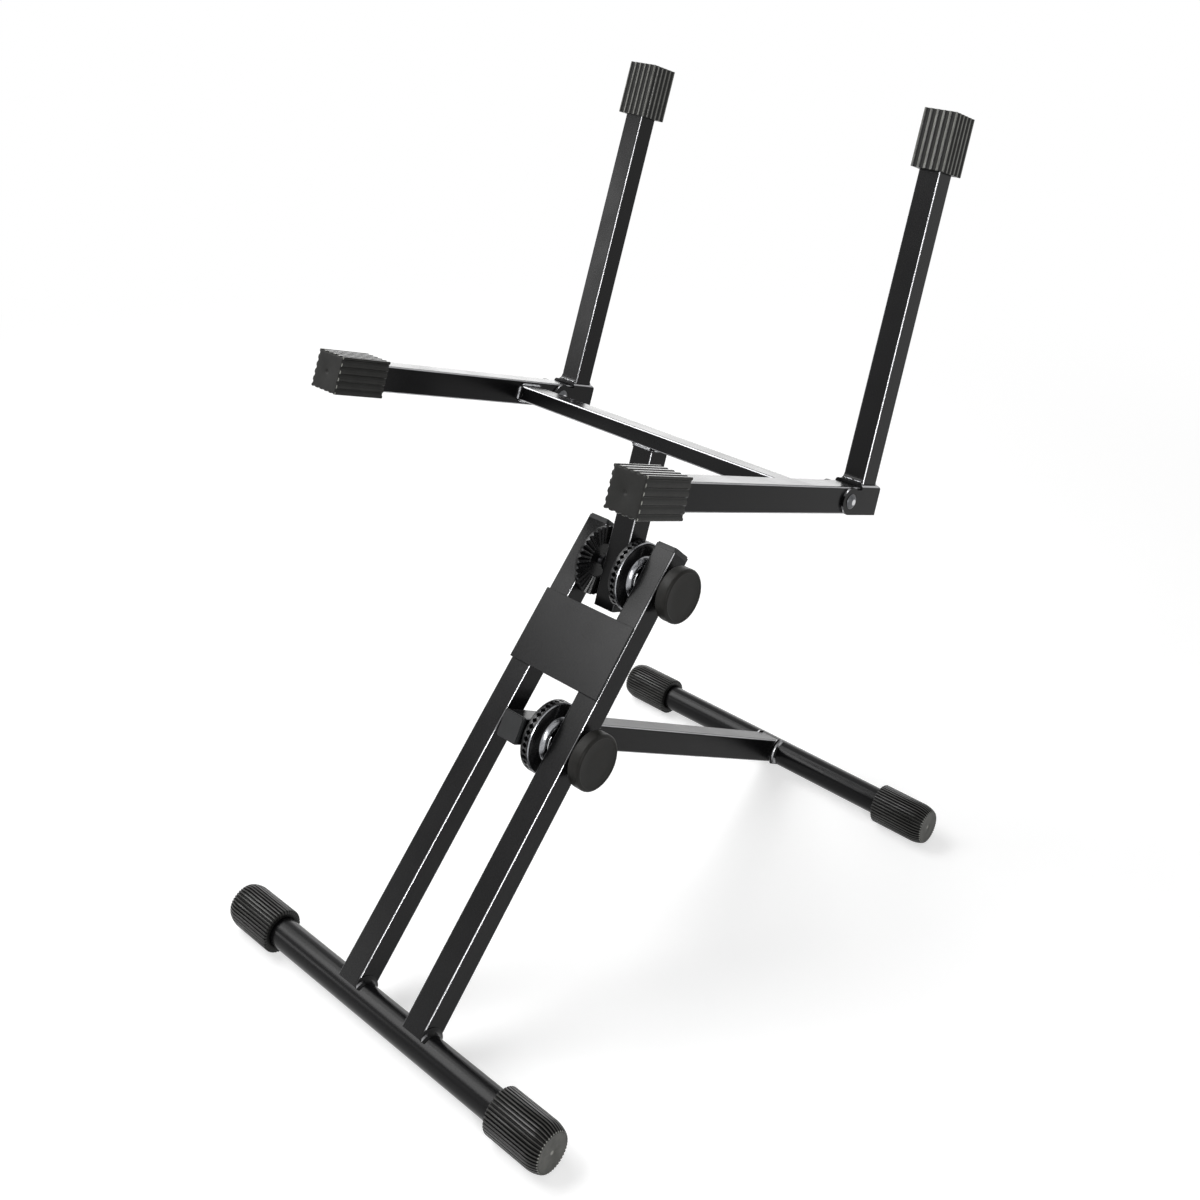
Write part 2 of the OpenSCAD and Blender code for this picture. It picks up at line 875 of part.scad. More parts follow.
front_base_tube();
front_cap_left();
front_cap_right();
leg_left();
leg_right();
leg_plug_left();
leg_plug_right();
front_plate();
toothed_disc_left();
clutch_dish_upper();
clutch_dish_lower();
spring_upper();
spring_lower();
clamp_bolt_upper();
clamp_bolt_lower();
clamp_nut_upper();
clamp_nut_lower();
strut();
strut_plug();
strut_clutch_plate();
rear_base_tube();
rear_cap_left();
rear_cap_right();
neck();
neck_clutch_plate();
crossbar();
arm_left();
arm_right();
arm_cap_left();
arm_cap_right();
hinge_rivet_left();
hinge_rivet_right();
bracket_left();
upright_left();
upright_cap_left();
bracket_right();
upright_right();
upright_cap_right();
knob_upper();
knob_lower();
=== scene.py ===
import math

import bmesh
import bpy
from mathutils import Matrix, Vector


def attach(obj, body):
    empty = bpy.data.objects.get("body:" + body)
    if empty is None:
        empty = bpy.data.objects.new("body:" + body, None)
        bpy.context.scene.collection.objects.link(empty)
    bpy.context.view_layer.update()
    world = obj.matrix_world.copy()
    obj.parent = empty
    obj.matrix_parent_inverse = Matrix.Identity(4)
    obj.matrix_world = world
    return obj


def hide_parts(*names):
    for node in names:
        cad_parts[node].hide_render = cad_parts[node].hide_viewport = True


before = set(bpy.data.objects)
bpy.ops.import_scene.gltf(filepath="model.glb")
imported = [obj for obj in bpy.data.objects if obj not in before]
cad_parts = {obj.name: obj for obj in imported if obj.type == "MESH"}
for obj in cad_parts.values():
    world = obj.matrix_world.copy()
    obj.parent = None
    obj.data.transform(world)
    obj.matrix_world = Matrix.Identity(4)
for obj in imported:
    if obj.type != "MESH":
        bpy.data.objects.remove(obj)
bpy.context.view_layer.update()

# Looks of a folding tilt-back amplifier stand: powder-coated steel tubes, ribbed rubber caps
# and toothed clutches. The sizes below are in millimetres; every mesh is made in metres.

MM = 0.001

# ---------- sizes ----------

# As in the part's source, but for the dishes' hub, which is a little wider and higher here, and for the
# round caps' flutes, which are cut deeper, so that they look as black as they are
BASE_W, BASE_D = 418, 551
ROUND_D, CAP_D, CAP_L, CAP_END = 27, 40, 60, 6
FLUTES, FLUTE_W, FLUTE_DEPTH = 40, 1.3, 1.5
DRAW_L, DRAW_IN = 13, 3.2
TUBE, UPRIGHT = 25, 23
LEAN, LOW_S, HIGH_S = 42.4, 266, 430
TILT, NECK_H = 18.5, 128.5
ARM_SPAN, ARM_FRONT = 368, 253
BAR_H, BAR_D = 15, 30
UPRIGHT_L, RIVET_Y, UPRIGHT_SET = 365, 48.5, 20
SHEET, SHEET_GAP = 2.2, 0.3
BOX_CAP, BOX_CAP_L, BOX_CAP_END, BOX_CAP_EDGE = 35, 56, 6, 1
GROOVES, GROOVE_DEPTH, RIDGE = 5, 1.2, 1.5
CLUTCH_GAP, DISC_R, TEETH, TOOTH_H, TOOTH_IN = 19, 34, 36, 2.6, 17
DISC_RIM, BACK_CONE, BACK_R, CREST_GAP = 2, 2.5, 22, 0.5
HUB_R, DISH_CONE, HUB_H, POCKET_R, BOSS_R, DISH_WEB = 21.5, 1.6, 3.7, 15.4, 8, 2.2
SPRING_R, SPRING_WIRE, SPRING_PITCH, SPRING_SEAT = 14, 1.8, 2.35, 0.15
BOLT_D, BORE_R, BOLT_HEAD, BOLT_HEAD_H = 8, 4.05, 18, 4.5
KNOB_D, KNOB_T, KNOB_HUB, KNOB_HUB_D, KNOB_GRIP = 53, 14, 9.5, 24, 17
RIVET_D, RIVET_HEAD, RIVET_HEAD_H = 8, 14, 3
FACE_GAP, CAP_GAP = 0.3, 0.1

AXLE_Z = CAP_D / 2
FRONT_Y, REAR_Y = -BASE_D / 2, BASE_D / 2
LEG_X = TUBE + CLUTCH_GAP
LEG_IN, LEG_OUT = LEG_X - TUBE / 2, LEG_X + TUBE / 2
ARM_X = ARM_SPAN / 2
WEB_TOP = TUBE / 2 + SHEET_GAP + SHEET
PLATE_H = BACK_CONE + DISC_RIM + TOOTH_H
RECESS = TOOTH_H * TOOTH_IN / DISC_R + 0.5
POCKET_Z = RECESS + DISH_WEB
HUB_Z = TOOTH_H + DISC_RIM + DISH_CONE
DISH_L = CLUTCH_GAP - PLATE_H - CREST_GAP
SPRING_L = DISH_L - POCKET_Z - 2 * SPRING_SEAT


def turn(axis, degrees):
    return Matrix.Rotation(math.radians(degrees), 4, axis)


def move(x, y, z):
    return Matrix.Translation((x, y, z))


# Frames of the stand's own parts, in millimetres: up a leg, back along the strut, up the neck
leg_frame = move(0, FRONT_Y, AXLE_Z) @ turn("X", -LEAN)
low_pivot = leg_frame @ Vector((0, 0, LOW_S))
high_pivot = leg_frame @ Vector((0, 0, HIGH_S))
strut_drop = math.degrees(math.atan2(low_pivot.z - AXLE_Z, REAR_Y - low_pivot.y))
strut_frame = Matrix.Translation(low_pivot) @ turn("X", -strut_drop)
cradle_frame = Matrix.Translation(high_pivot) @ turn("X", -TILT)
# the sign of x on each side, and how far up the legs each pivot is
SIDES = {-1: "left", 1: "right"}
PIVOTS = {"upper": HIGH_S, "lower": LOW_S}
hinge_frame = {m: cradle_frame @ move(m * ARM_X, RIVET_Y, NECK_H) for m in SIDES}


def on_pivot(along, x):
    """Frame of a turned piece whose z axis lies on a pivot and points to +X, starting at x"""
    return leg_frame @ move(x, 0, along) @ turn("Y", 90)


# ---------- node trees ----------

# The kinds of node that the trees use most
MATH, VECTOR_MATH, RANGE = "ShaderNodeMath", "ShaderNodeVectorMath", "ShaderNodeMapRange"
MIX, NOISE, BUMP = "ShaderNodeMix", "ShaderNodeTexNoise", "ShaderNodeBump"


def fill(tree, node, inputs):
    """Gives inputs, by name or in a row, a value or a link from a socket or a node's first output"""
    for name, value in inputs.items() if isinstance(inputs, dict) else enumerate(inputs):
        if isinstance(value, bpy.types.Node):
            value = value.outputs[0]
        if isinstance(value, bpy.types.NodeSocket):
            tree.links.new(value, node.inputs[name])
        else:
            node.inputs[name].default_value = value


def add(tree, kind, inputs=(), **settings):
    """Adds a node with its settings and its inputs"""
    node = tree.nodes.new(kind)
    for name, value in settings.items():
        setattr(node, name, value)
    fill(tree, node, inputs)
    return node


def linear(code):
    """An sRGB hex colour as Blender's linear one"""
    parts = [int(code[i : i + 2], 16) / 255 for i in (1, 3, 5)]
    return [c / 12.92 if c <= 0.04045 else ((c + 0.055) / 1.055) ** 2.4 for c in parts] + [1]


def grow_tree(name, **sizes):
    """A Geometry Nodes tree for a geometry, named sizes and a finish, with the sockets that give them"""
    tree = bpy.data.node_groups.new(name, "GeometryNodeTree")
    tree.interface.new_socket("Geometry", in_out="INPUT", socket_type="NodeSocketGeometry")
    for size, value in sizes.items():
        kind = "NodeSocketInt" if isinstance(value, int) else "NodeSocketFloat"
        tree.interface.new_socket(size, in_out="INPUT", socket_type=kind).default_value = value
    tree.interface.new_socket("Finish", in_out="INPUT", socket_type="NodeSocketMaterial")
    tree.interface.new_socket("Geometry", in_out="OUTPUT", socket_type="NodeSocketGeometry")
    return tree, tree.nodes.new("NodeGroupInput").outputs


def close_tree(tree, geometry, given):
    """Ends a tree in Realize Instances and Set Material"""
    real = add(tree, "GeometryNodeRealizeInstances", {"Geometry": geometry})
    done = add(tree, "GeometryNodeSetMaterial", {"Geometry": real, "Material": given["Finish"]})
    add(tree, "NodeGroupOutput", (done,))
    return tree


def around_z(tree):
    """A point's vector out from the z axis, its turns about it and its height along it"""
    place = add(tree, "GeometryNodeInputPosition")
    flat = add(tree, VECTOR_MATH, (place, (1, 1, 0)), operation="MULTIPLY")
    xyz = add(tree, "ShaderNodeSeparateXYZ", (place,)).outputs
    angle = add(tree, MATH, (xyz["Y"], xyz["X"]), operation="ARCTAN2")
    turns = add(tree, MATH, (angle, 2 * math.pi), operation="DIVIDE")
    return flat, turns, xyz["Z"]


def sunk(tree, outward, cut):
    """The shift that sinks a point by a cut, against a vector that points outward"""
    back = add(tree, MATH, (cut, -1.0), operation="MULTIPLY")
    return add(tree, VECTOR_MATH, {0: outward, "Scale": back}, operation="SCALE")


def in_scene(name, data):
    """A new object in the scene"""
    made = bpy.data.objects.new(name, data)
    bpy.context.scene.collection.objects.link(made)
    return made


def grown(mesh, tree, finish_used, **sizes):
    """The plain mesh that a Geometry Nodes tree makes of a mesh"""
    holder = in_scene("grown", mesh)
    modifier = holder.modifiers.new("grow", "NODES")
    modifier.node_group = tree
    for item in tree.interface.items_tree:
        if item.in_out == "INPUT" and item.name in sizes:
            modifier[item.identifier] = sizes[item.name]
        if item.in_out == "INPUT" and item.name == "Finish":
            modifier[item.identifier] = finish_used
    shape = bpy.context.evaluated_depsgraph_get()
    made = bpy.data.meshes.new_from_object(holder.evaluated_get(shape), depsgraph=shape)
    holder.modifiers.remove(modifier)
    bpy.data.objects.remove(holder)
    return made


# ---------- finishes ----------

# Ranges of a noise that a finish makes use of, and the relief of a fine grain
WIDE = {"From Min": 0.3, "From Max": 0.7}
UPPER = {"From Min": 0.35, "From Max": 0.7}
MIDDLE = {"From Min": 0.35, "From Max": 0.65}
FINE = {"Distance": 0.02 * MM, "Strength": 0.5}


def finish(name, specular=0.5, metallic=0.0):
    """A new material with its tree, its shader and the object's coordinates"""
    made = bpy.data.materials.new(name)
    made.use_nodes = True
    tree = made.node_tree
    shader = tree.nodes["Principled BSDF"]
    fill(tree, shader, {"IOR": 1.5, "Specular IOR Level": specular, "Metallic": metallic})
    place = add(tree, "ShaderNodeTexCoord").outputs["Object"]
    return made, tree, shader, place


def per_mm(grain):
    """Noise scale whose grains are that many millimetres across"""
    return 1 / (grain * MM)


def speckled(tree, noise, low, high):
    """A colour that goes from one to another with a noise"""
    share = add(tree, RANGE, {"Value": noise, **UPPER})
    return add(tree, MIX, {0: share, 6: linear(low), 7: linear(high)}, data_type="RGBA").outputs[2]


def powder_coat():
    """Black polyester powder coat baked on drawn steel tube. The eye gets a deep black with a satin gloss,
    a faint orange peel, fine powder grains, and a line of steel on corners where the coat pulled thin"""
    made, tree, shader, place = finish("black_polyester_powder_coat", specular=0.14)
    peel = add(tree, NOISE, {"Vector": place, "Scale": per_mm(2.2), "Detail": 1.0})
    # powder grains, drawn at 0.5 mm so that they show
    grains = add(tree, NOISE, {"Vector": place, "Scale": per_mm(0.5), "Detail": 2.0})
    cloud = add(tree, NOISE, {"Vector": place, "Scale": per_mm(45), "Detail": 3.0})
    coat = speckled(tree, grains, "#0b0b0c", "#111112")
    corner = add(tree, "ShaderNodeAttribute", attribute_name="corner").outputs["Fac"]
    patchy = add(tree, RANGE, {"Value": cloud, **MIDDLE, "To Min": 0.92})
    thin = add(tree, MATH, (corner, patchy), operation="MULTIPLY")
    thin = add(tree, RANGE, {"Value": thin, "From Min": 0.6, "From Max": 0.95})
    colour = add(tree, MIX, {0: thin, 6: coat, 7: linear("#b0b0b2")}, data_type="RGBA").outputs[2]
    steel = add(tree, MATH, (thin, 0.85), operation="MULTIPLY")
    gloss = add(tree, RANGE, {"Value": cloud, **WIDE, "To Min": 0.2, "To Max": 0.26})
    waves = add(tree, BUMP, {"Height": peel, "Distance": 0.01 * MM, "Strength": 0.4})
    relief = add(tree, BUMP, {"Height": grains, "Distance": 0.003 * MM, "Strength": 0.4, "Normal": waves})
    fill(tree, shader, {"Base Color": colour, "Metallic": steel, "Roughness": gloss, "Normal": relief})
    return made


def weld_coat():
    """The same powder coat over a weld bead. The eye gets glossy ripples with bare steel glinting on top"""
    made, tree, shader, place = finish("powder_coated_weld_bead", specular=0.4)
    spatter = add(tree, NOISE, {"Vector": place, "Scale": per_mm(1.1), "Detail": 2.0})
    wear_and_highlight = add(tree, RANGE, {"Value": spatter, "From Min": 0.34, "From Max": 0.46})
    paler_mix = {0: wear_and_highlight, 6: linear("#0e0e0f"), 7: linear("#c4c5c8")}
    colour = add(tree, MIX, paler_mix, data_type="RGBA").outputs[2]
    steel = add(tree, MATH, (wear_and_highlight, 0.8), operation="MULTIPLY")
    gloss = add(tree, RANGE, {"Value": spatter, **WIDE, "To Min": 0.14, "To Max": 0.28})
    relief = add(tree, BUMP, {"Height": spatter, "Distance": 0.08 * MM, "Strength": 0.6})
    fill(tree, shader, {"Base Color": colour, "Metallic": steel, "Roughness": gloss, "Normal": relief})
    return made


def moulded_rubber():
    """Black moulded rubber of the caps. The eye gets matt black grooves, smoother ridges painted paler as a
    painted highlight, a little dust and a fine die grain"""
    made, tree, shader, place = finish("black_moulded_rubber", specular=0.18)
    # die grain, drawn at 0.45 mm so that it shows
    grain = add(tree, NOISE, {"Vector": place, "Scale": per_mm(0.45), "Detail": 3.0})
    dust = add(tree, NOISE, {"Vector": place, "Scale": per_mm(9), "Detail": 4.0, "Roughness": 0.6})
    smooth = add(tree, "ShaderNodeAttribute", attribute_name="smooth").outputs["Fac"]
    # paler where dust lies and where a highlight is painted on the caps' crests and rims
    dust_and_highlight = add(tree, "ShaderNodeAttribute", attribute_name="dust_and_highlight").outputs["Fac"]
    patchy = add(tree, RANGE, {"Value": dust, **MIDDLE, "To Min": 0.7})
    pale = add(tree, MATH, (dust_and_highlight, patchy), operation="MULTIPLY")
    paler_mix = {0: pale, 6: speckled(tree, grain, "#090909", "#121211"), 7: linear("#a8a8a2")}
    colour = add(tree, MIX, paler_mix, data_type="RGBA").outputs[2]
    gloss = add(tree, RANGE, {"Value": smooth, "From Max": 0.5, "To Min": 0.5, "To Max": 0.2})
    relief = add(tree, BUMP, {"Height": grain, **FINE})
    fill(tree, shader, {"Base Color": colour, "Roughness": gloss, "Normal": relief})
    return made


def moulded_polyethylene():
    """Black polyethylene of the tube plugs. The eye gets a soft sheen over a fine spark-eroded texture"""
    made, tree, shader, place = finish("black_moulded_polyethylene", specular=0.3)
    grain = add(tree, NOISE, {"Vector": place, "Scale": per_mm(0.4), "Detail": 2.0})
    bloom = add(tree, NOISE, {"Vector": place, "Scale": per_mm(12), "Detail": 3.0})
    colour = speckled(tree, bloom, "#18191a", "#202122")
    gloss = add(tree, RANGE, {"Value": grain, **WIDE, "To Min": 0.42, "To Max": 0.55})
    relief = add(tree, BUMP, {"Height": grain, **FINE})
    fill(tree, shader, {"Base Color": colour, "Roughness": gloss, "Normal": relief})
    return made


def rubberised_abs():
    """Black soft-touch ABS of the hand knobs. The eye gets a matt, warm black, a little finger-polished"""
    made, tree, shader, place = finish("black_soft_touch_abs", specular=0.15)
    grain = add(tree, NOISE, {"Vector": place, "Scale": per_mm(0.4), "Detail": 2.0})
    hands = add(tree, NOISE, {"Vector": place, "Scale": per_mm(7), "Detail": 3.0})
    colour = speckled(tree, hands, "#171715", "#201f1d")
    gloss = add(tree, RANGE, {"Value": hands, **WIDE, "To Min": 0.4, "To Max": 0.52})
    relief = add(tree, BUMP, {"Height": grain, **FINE})
    fill(tree, shader, {"Base Color": colour, "Roughness": gloss, "Normal": relief})
    return made


def enamelled_casting():
    """Cast steel clutch in black enamel. The eye gets a glossy, lightly pitted black, bare metal on the
    teeth's tips, a hub that is turned bright and a painted highlight of bright metal round the dishes' rims"""
    made, tree, shader, place = finish("black_enamelled_cast_steel", specular=0.2)
    bare_and_highlight = add(tree, "ShaderNodeAttribute", attribute_name="bare_and_highlight").outputs["Fac"]
    grain = add(tree, NOISE, {"Vector": place, "Scale": per_mm(0.8), "Detail": 3.0})
    enamel = speckled(tree, grain, "#0a0a0b", "#121213")
    metal = speckled(tree, grain, "#85868a", "#9b9c9e")
    colour = add(tree, MIX, {0: bare_and_highlight, 6: enamel, 7: metal}, data_type="RGBA").outputs[2]
    gloss = add(tree, RANGE, {"Value": grain, **WIDE, "To Min": 0.2, "To Max": 0.3})
    relief = add(tree, BUMP, {"Height": grain, **FINE})
    fill(tree, shader, {"Base Color": colour, "Metallic": bare_and_highlight, "Roughness": gloss, "Normal": relief})
    return made


def plated_steel(name, low, high, gloss):
    """Plated steel hardware. The eye gets metal with faint blotches where the plating varies, and a painted
    highlight in the middle of the rivets' heads"""
    made, tree, shader, place = finish(name, metallic=1.0)
    blotch = add(tree, NOISE, {"Vector": place, "Scale": per_mm(3), "Detail": 3.0})
    fine = add(tree, NOISE, {"Vector": place, "Scale": per_mm(0.3), "Detail": 2.0})
    share = add(tree, RANGE, {"Value": blotch, **WIDE})
    plated = add(tree, MIX, {0: share, 6: linear(low), 7: linear(high)}, data_type="RGBA")
    # paler metal where a highlight is painted, in the middle of the rivets' heads
    bare_and_highlight = add(tree, "ShaderNodeAttribute", attribute_name="bare_and_highlight").outputs["Fac"]
    paler_mix = {0: bare_and_highlight, 6: plated.outputs[2], 7: linear("#d2d2d4")}
    colour = add(tree, MIX, paler_mix, data_type="RGBA").outputs[2]
    rough = add(tree, RANGE, {"Value": share, "To Min": gloss, "To Max": gloss + 0.1})
    relief = add(tree, BUMP, {"Height": fine, "Distance": 0.004 * MM, "Strength": 0.4})
    fill(tree, shader, {"Base Color": colour, "Roughness": rough, "Normal": relief})
    return made


paint = powder_coat()
bead_paint = weld_coat()
rubber = moulded_rubber()
plug_plastic = moulded_polyethylene()
grip_plastic = rubberised_abs()
clutch_enamel = enamelled_casting()
spring_steel = plated_steel("nickel_plated_spring_wire", "#b2b3b5", "#c8c9ca", 0.18)
bolt_steel = plated_steel("black_zinc_bolt_steel", "#2a2a2c", "#3a3a3c", 0.3)
rivet_steel = plated_steel("plated_rivet_steel", "#4e4f51", "#616264", 0.28)


# ---------- meshes ----------

# Points of a CAD node this close are one; its faces within this many degrees are one flat; edges from
# this many degrees on are rounded over
MERGE = 0.004
FLAT_WITHIN, ROUND_FROM = 0.3, 35
# points nearer the axis than this lie on it
ON_AXIS = 1e-6


def piece(name, mesh, finish_used, body, slot, *replaced):
    """Puts a finished mesh on its CAD body, in place of CAD nodes if it stands for any"""
    made = in_scene(name, mesh)
    mesh.materials.clear()
    mesh.materials.append(finish_used)
    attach(made, body)
    if replaced:
        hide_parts(*replaced)


def shaded(mesh, sharp=30):
    """Shades curves smooth and keeps edges sharper than that many degrees"""
    mesh.polygons.foreach_set("use_smooth", [True] * len(mesh.polygons))
    mesh.set_sharp_from_angle(angle=math.radians(sharp))
    return mesh


def mark_corners(mesh, part_frame, along):
    """Stores "corner" on faces: 0 on flats, 1 in the middle of a rounded corner along one of the axes"""
    square_on = part_frame.to_3x3().inverted()
    mark = mesh.attributes.new("corner", "FLOAT", "FACE")
    for face in mesh.polygons:
        x, y, z = (abs(n) for n in square_on @ face.normal)
        turned_out = {"x": y * z, "y": z * x, "z": x * y}
        mark.data[face.index].value = max([0] + [min(1, 2 * turned_out[axis]) for axis in along])


def refined(node, part_frame=None, along="", rounding=0.0):
    """A merged copy of a CAD node, with sharp edges rounded over, flats kept flat and curves shaded
    smooth. Its corners are marked where a frame and the axes that they run along are given"""
    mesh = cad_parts[node].data.copy()
    work = bmesh.new()
    work.from_mesh(mesh)
    bmesh.ops.remove_doubles(work, verts=work.verts, dist=MERGE * MM)
    bmesh.ops.dissolve_limit(work, angle_limit=math.radians(FLAT_WITHIN), verts=work.verts,
                              edges=work.edges)
    work.to_mesh(mesh)
    work.free()
    holder = in_scene("refined", mesh)
    shaded(mesh)
    if part_frame is not None:
        mark_corners(mesh, part_frame, along)
    if rounding:
        bevel = holder.modifiers.new("rounding", "BEVEL")
        bevel.width = rounding * MM
        bevel.segments = 2
        bevel.limit_method = "ANGLE"
        bevel.angle_limit = math.radians(ROUND_FROM)
        bevel.use_clamp_overlap = True
    flats = holder.modifiers.new("flats", "WEIGHTED_NORMAL")
    flats.keep_sharp = True
    flats.weight = 60
    shape = bpy.context.evaluated_depsgraph_get()
    made = bpy.data.meshes.new_from_object(holder.evaluated_get(shape), depsgraph=shape)
    holder.modifiers.clear()
    bpy.data.objects.remove(holder)
    return made


def lofted(rings, joined=False):
    """Skin over rings of points in millimetres. Rings hold as many points as each other, or one at a
    pole; the last ring joins the first, or else an end ring that isn't a pole is filled"""
    work = bmesh.new()
    loops = [[work.verts.new([c * MM for c in point]) for point in ring] for ring in rings]
    count = max(len(loop) for loop in loops)
    pairs = list(zip(loops, loops[1:])) + ([(loops[-1], loops[0])] if joined else [])
    for low, high in pairs:
        for k in range(count):
            after = (k + 1) % count
            corners = [low[k % len(low)], low[after % len(low)]]
            corners += [high[after % len(high)], high[k % len(high)]]
            corners = list(dict.fromkeys(corners))
            if len(corners) > 2:
                work.faces.new(corners)
    if not joined:
        for loop in (loops[0], loops[-1]):
            if len(loop) > 1:
                work.faces.new(loop)
    bmesh.ops.recalc_face_normals(work, faces=work.faces)
    mesh = bpy.data.meshes.new("lofted")
    work.to_mesh(mesh)
    work.free()
    return mesh


def turned(profile, steps, joined=False):
    """Body turned about z from an outline of (radius, height) points"""
    around = [2 * math.pi * k / steps for k in range(steps)]
    rings = []
    for radius, height in profile:
        if radius < ON_AXIS:
            rings.append([(0, 0, height)])
        else:
            rings.append([(radius * math.cos(a), radius * math.sin(a), height) for a in around])
    return lofted(rings, joined)


def arc(cx, cy, radius, start, stop, steps):
    """Points of an arc about (cx, cy), from one angle in degrees to another"""
    return [
        (cx + radius * math.cos(math.radians(a)), cy + radius * math.sin(math.radians(a)))
        for a in (start + (stop - start) * i / steps for i in range(steps + 1))
    ]


def dome(width, height, base, up=1, steps=10):
    """Outline of a low dome from its edge to the axis"""
    radius = (width * width / 4 + height * height) / (2 * height)
    edge = math.degrees(math.asin((radius - height) / radius))
    return [(x, base + up * (y - radius + height)) for x, y in arc(0, 0, radius, edge, 90, steps)]


def divided(start, stop, longest):
    """Points from one to another, both kept, with no stretch longer than that"""
    n = math.ceil(math.dist(start, stop) / longest)
    return [tuple(a + (b - a) * i / n for a, b in zip(start, stop)) for i in range(n + 1)]


def placed(mesh, matrix):
    """Moves a mesh made in metres into a frame given in millimetres"""
    at = matrix.copy()
    at.translation = matrix.translation * MM
    mesh.transform(at)
    return mesh


# ---------- powder-coated tubes, plate and brackets ----------

# Each body's frame, and its steel pieces with the axes that their corners run along. The strut is marked
# along all three, so that the coat is also thin over the weld at its foot
STEEL = {
    "main_frame": (leg_frame, {
        "front_base_tube": "", "leg_left": "z", "leg_right": "z", "front_plate": "xyz",
    }),
    "rear_leg": (strut_frame, {"strut": "xyz", "rear_base_tube": ""}),
    "cradle": (cradle_frame, {"neck": "z", "crossbar": "x", "arm_left": "y", "arm_right": "y"}),
    "left_upright": (cradle_frame, {"bracket_left": "xyz", "upright_left": "z"}),
    "right_upright": (cradle_frame, {"bracket_right": "xyz", "upright_right": "z"}),
}
SHEET_PIECES = ("front_plate", "bracket_left", "bracket_right")
# how far a piece's sharp edges are rounded over
SHEET_EDGE, TUBE_EDGE, PLUG_EDGE, NUT_EDGE = 0.4, 0.15, 0.5, 0.3
for body, (part_frame, nodes) in STEEL.items():
    for node, along in nodes.items():
        mesh = refined(node, part_frame, along, SHEET_EDGE if node in SHEET_PIECES else TUBE_EDGE)
        piece("painted_" + node, mesh, paint, body, "black_steel", node)

PLUGS = {"leg_plug_left": "main_frame", "leg_plug_right": "main_frame", "strut_plug": "rear_leg"}
for node, body in PLUGS.items():
    piece("moulded_" + node, refined(node, rounding=PLUG_EDGE), plug_plastic, body, "black_plastic", node)

for node in ("clamp_nut_upper", "clamp_nut_lower"):
    mesh = refined(node, rounding=NUT_EDGE)
    piece("plated_" + node, mesh, bolt_steel, "main_frame", "plated_steel", node)


# ---------- weld beads ----------

# A bead's radius, how far its middle stands off its two faces, and how far short of their ends it stops, on
# most edges and on the crossbar's
BEAD, SEAT = 1.6, 0.7
BEAD_END, LONG_END = 1, 2


def weld_tree():
    """Weld bead along an edge chain: ripples where each drop froze, lumps of uneven feed, and thin ends"""
    tree, given = grow_tree("weld_bead", Radius=BEAD * MM, Ripple=1.6 * MM, Seed=1.0)
    path = add(tree, "GeometryNodeMeshToCurve", {"Mesh": given["Geometry"]})
    path = add(tree, "GeometryNodeResampleCurve", {"Curve": path, "Length": 0.3 * MM}, mode="LENGTH")
    along = add(tree, "GeometryNodeSplineParameter").outputs
    near_end = add(tree, MATH, (along["Factor"], 0.5), operation="PINGPONG")
    taper = add(tree, RANGE, {"Value": near_end, "From Max": 0.09, "To Min": 0.4},
                interpolation_type="SMOOTHSTEP")
    drops = add(tree, MATH, (along["Length"], given["Ripple"]), operation="DIVIDE")
    drops = add(tree, MATH, (drops, 2 * math.pi), operation="MULTIPLY")
    wave = add(tree, MATH, (drops,), operation="SINE")
    ripple = add(tree, RANGE, {"Value": wave, "From Min": -1.0, "To Min": 0.86, "To Max": 1.06})
    grain = {"Vector": add(tree, "GeometryNodeInputPosition"), "W": given["Seed"]}
    feed = add(tree, NOISE, {**grain, "Scale": per_mm(3)}, noise_dimensions="4D")
    lump = add(tree, RANGE, {"Value": feed, **WIDE, "To Min": 0.8, "To Max": 1.15})
    radius = given["Radius"]
    for factor in (taper, ripple, lump):
        radius = add(tree, MATH, (radius, factor), operation="MULTIPLY")
    ring = add(tree, "GeometryNodeCurvePrimitiveCircle", {"Resolution": 14, "Radius": 1.0})
    swept = {"Curve": path, "Profile Curve": ring, "Scale": radius, "Fill Caps": True}
    bead = add(tree, "GeometryNodeCurveToMesh", swept)
    rough = add(tree, NOISE, {**grain, "Scale": per_mm(0.9)}, noise_dimensions="4D")
    rough = add(tree, RANGE, {"Value": rough, "To Min": -0.25 * MM, "To Max": 0.25 * MM})
    outward = add(tree, "GeometryNodeInputNormal")
    shift = add(tree, VECTOR_MATH, {0: outward, "Scale": rough}, operation="SCALE")
    bead = add(tree, "GeometryNodeSetPosition", {"Geometry": bead, "Offset": shift})
    return close_tree(tree, bead, given)


def straight(part_frame, start, stop):
    """Path of a straight weld between two points of a part's frame"""
    return [part_frame @ Vector(start), part_frame @ Vector(stop)]


def chains(paths):
    """One mesh of edge chains, one for each path"""
    points = [[c * MM for c in point] for path in paths for point in path]
    edges = []
    start = 0
    for path in paths:
        edges += [(start + i, start + i + 1) for i in range(len(path) - 1)]
        start += len(path)
    mesh = bpy.data.meshes.new("weld_paths")
    mesh.from_pydata(points, edges, [])
    return mesh


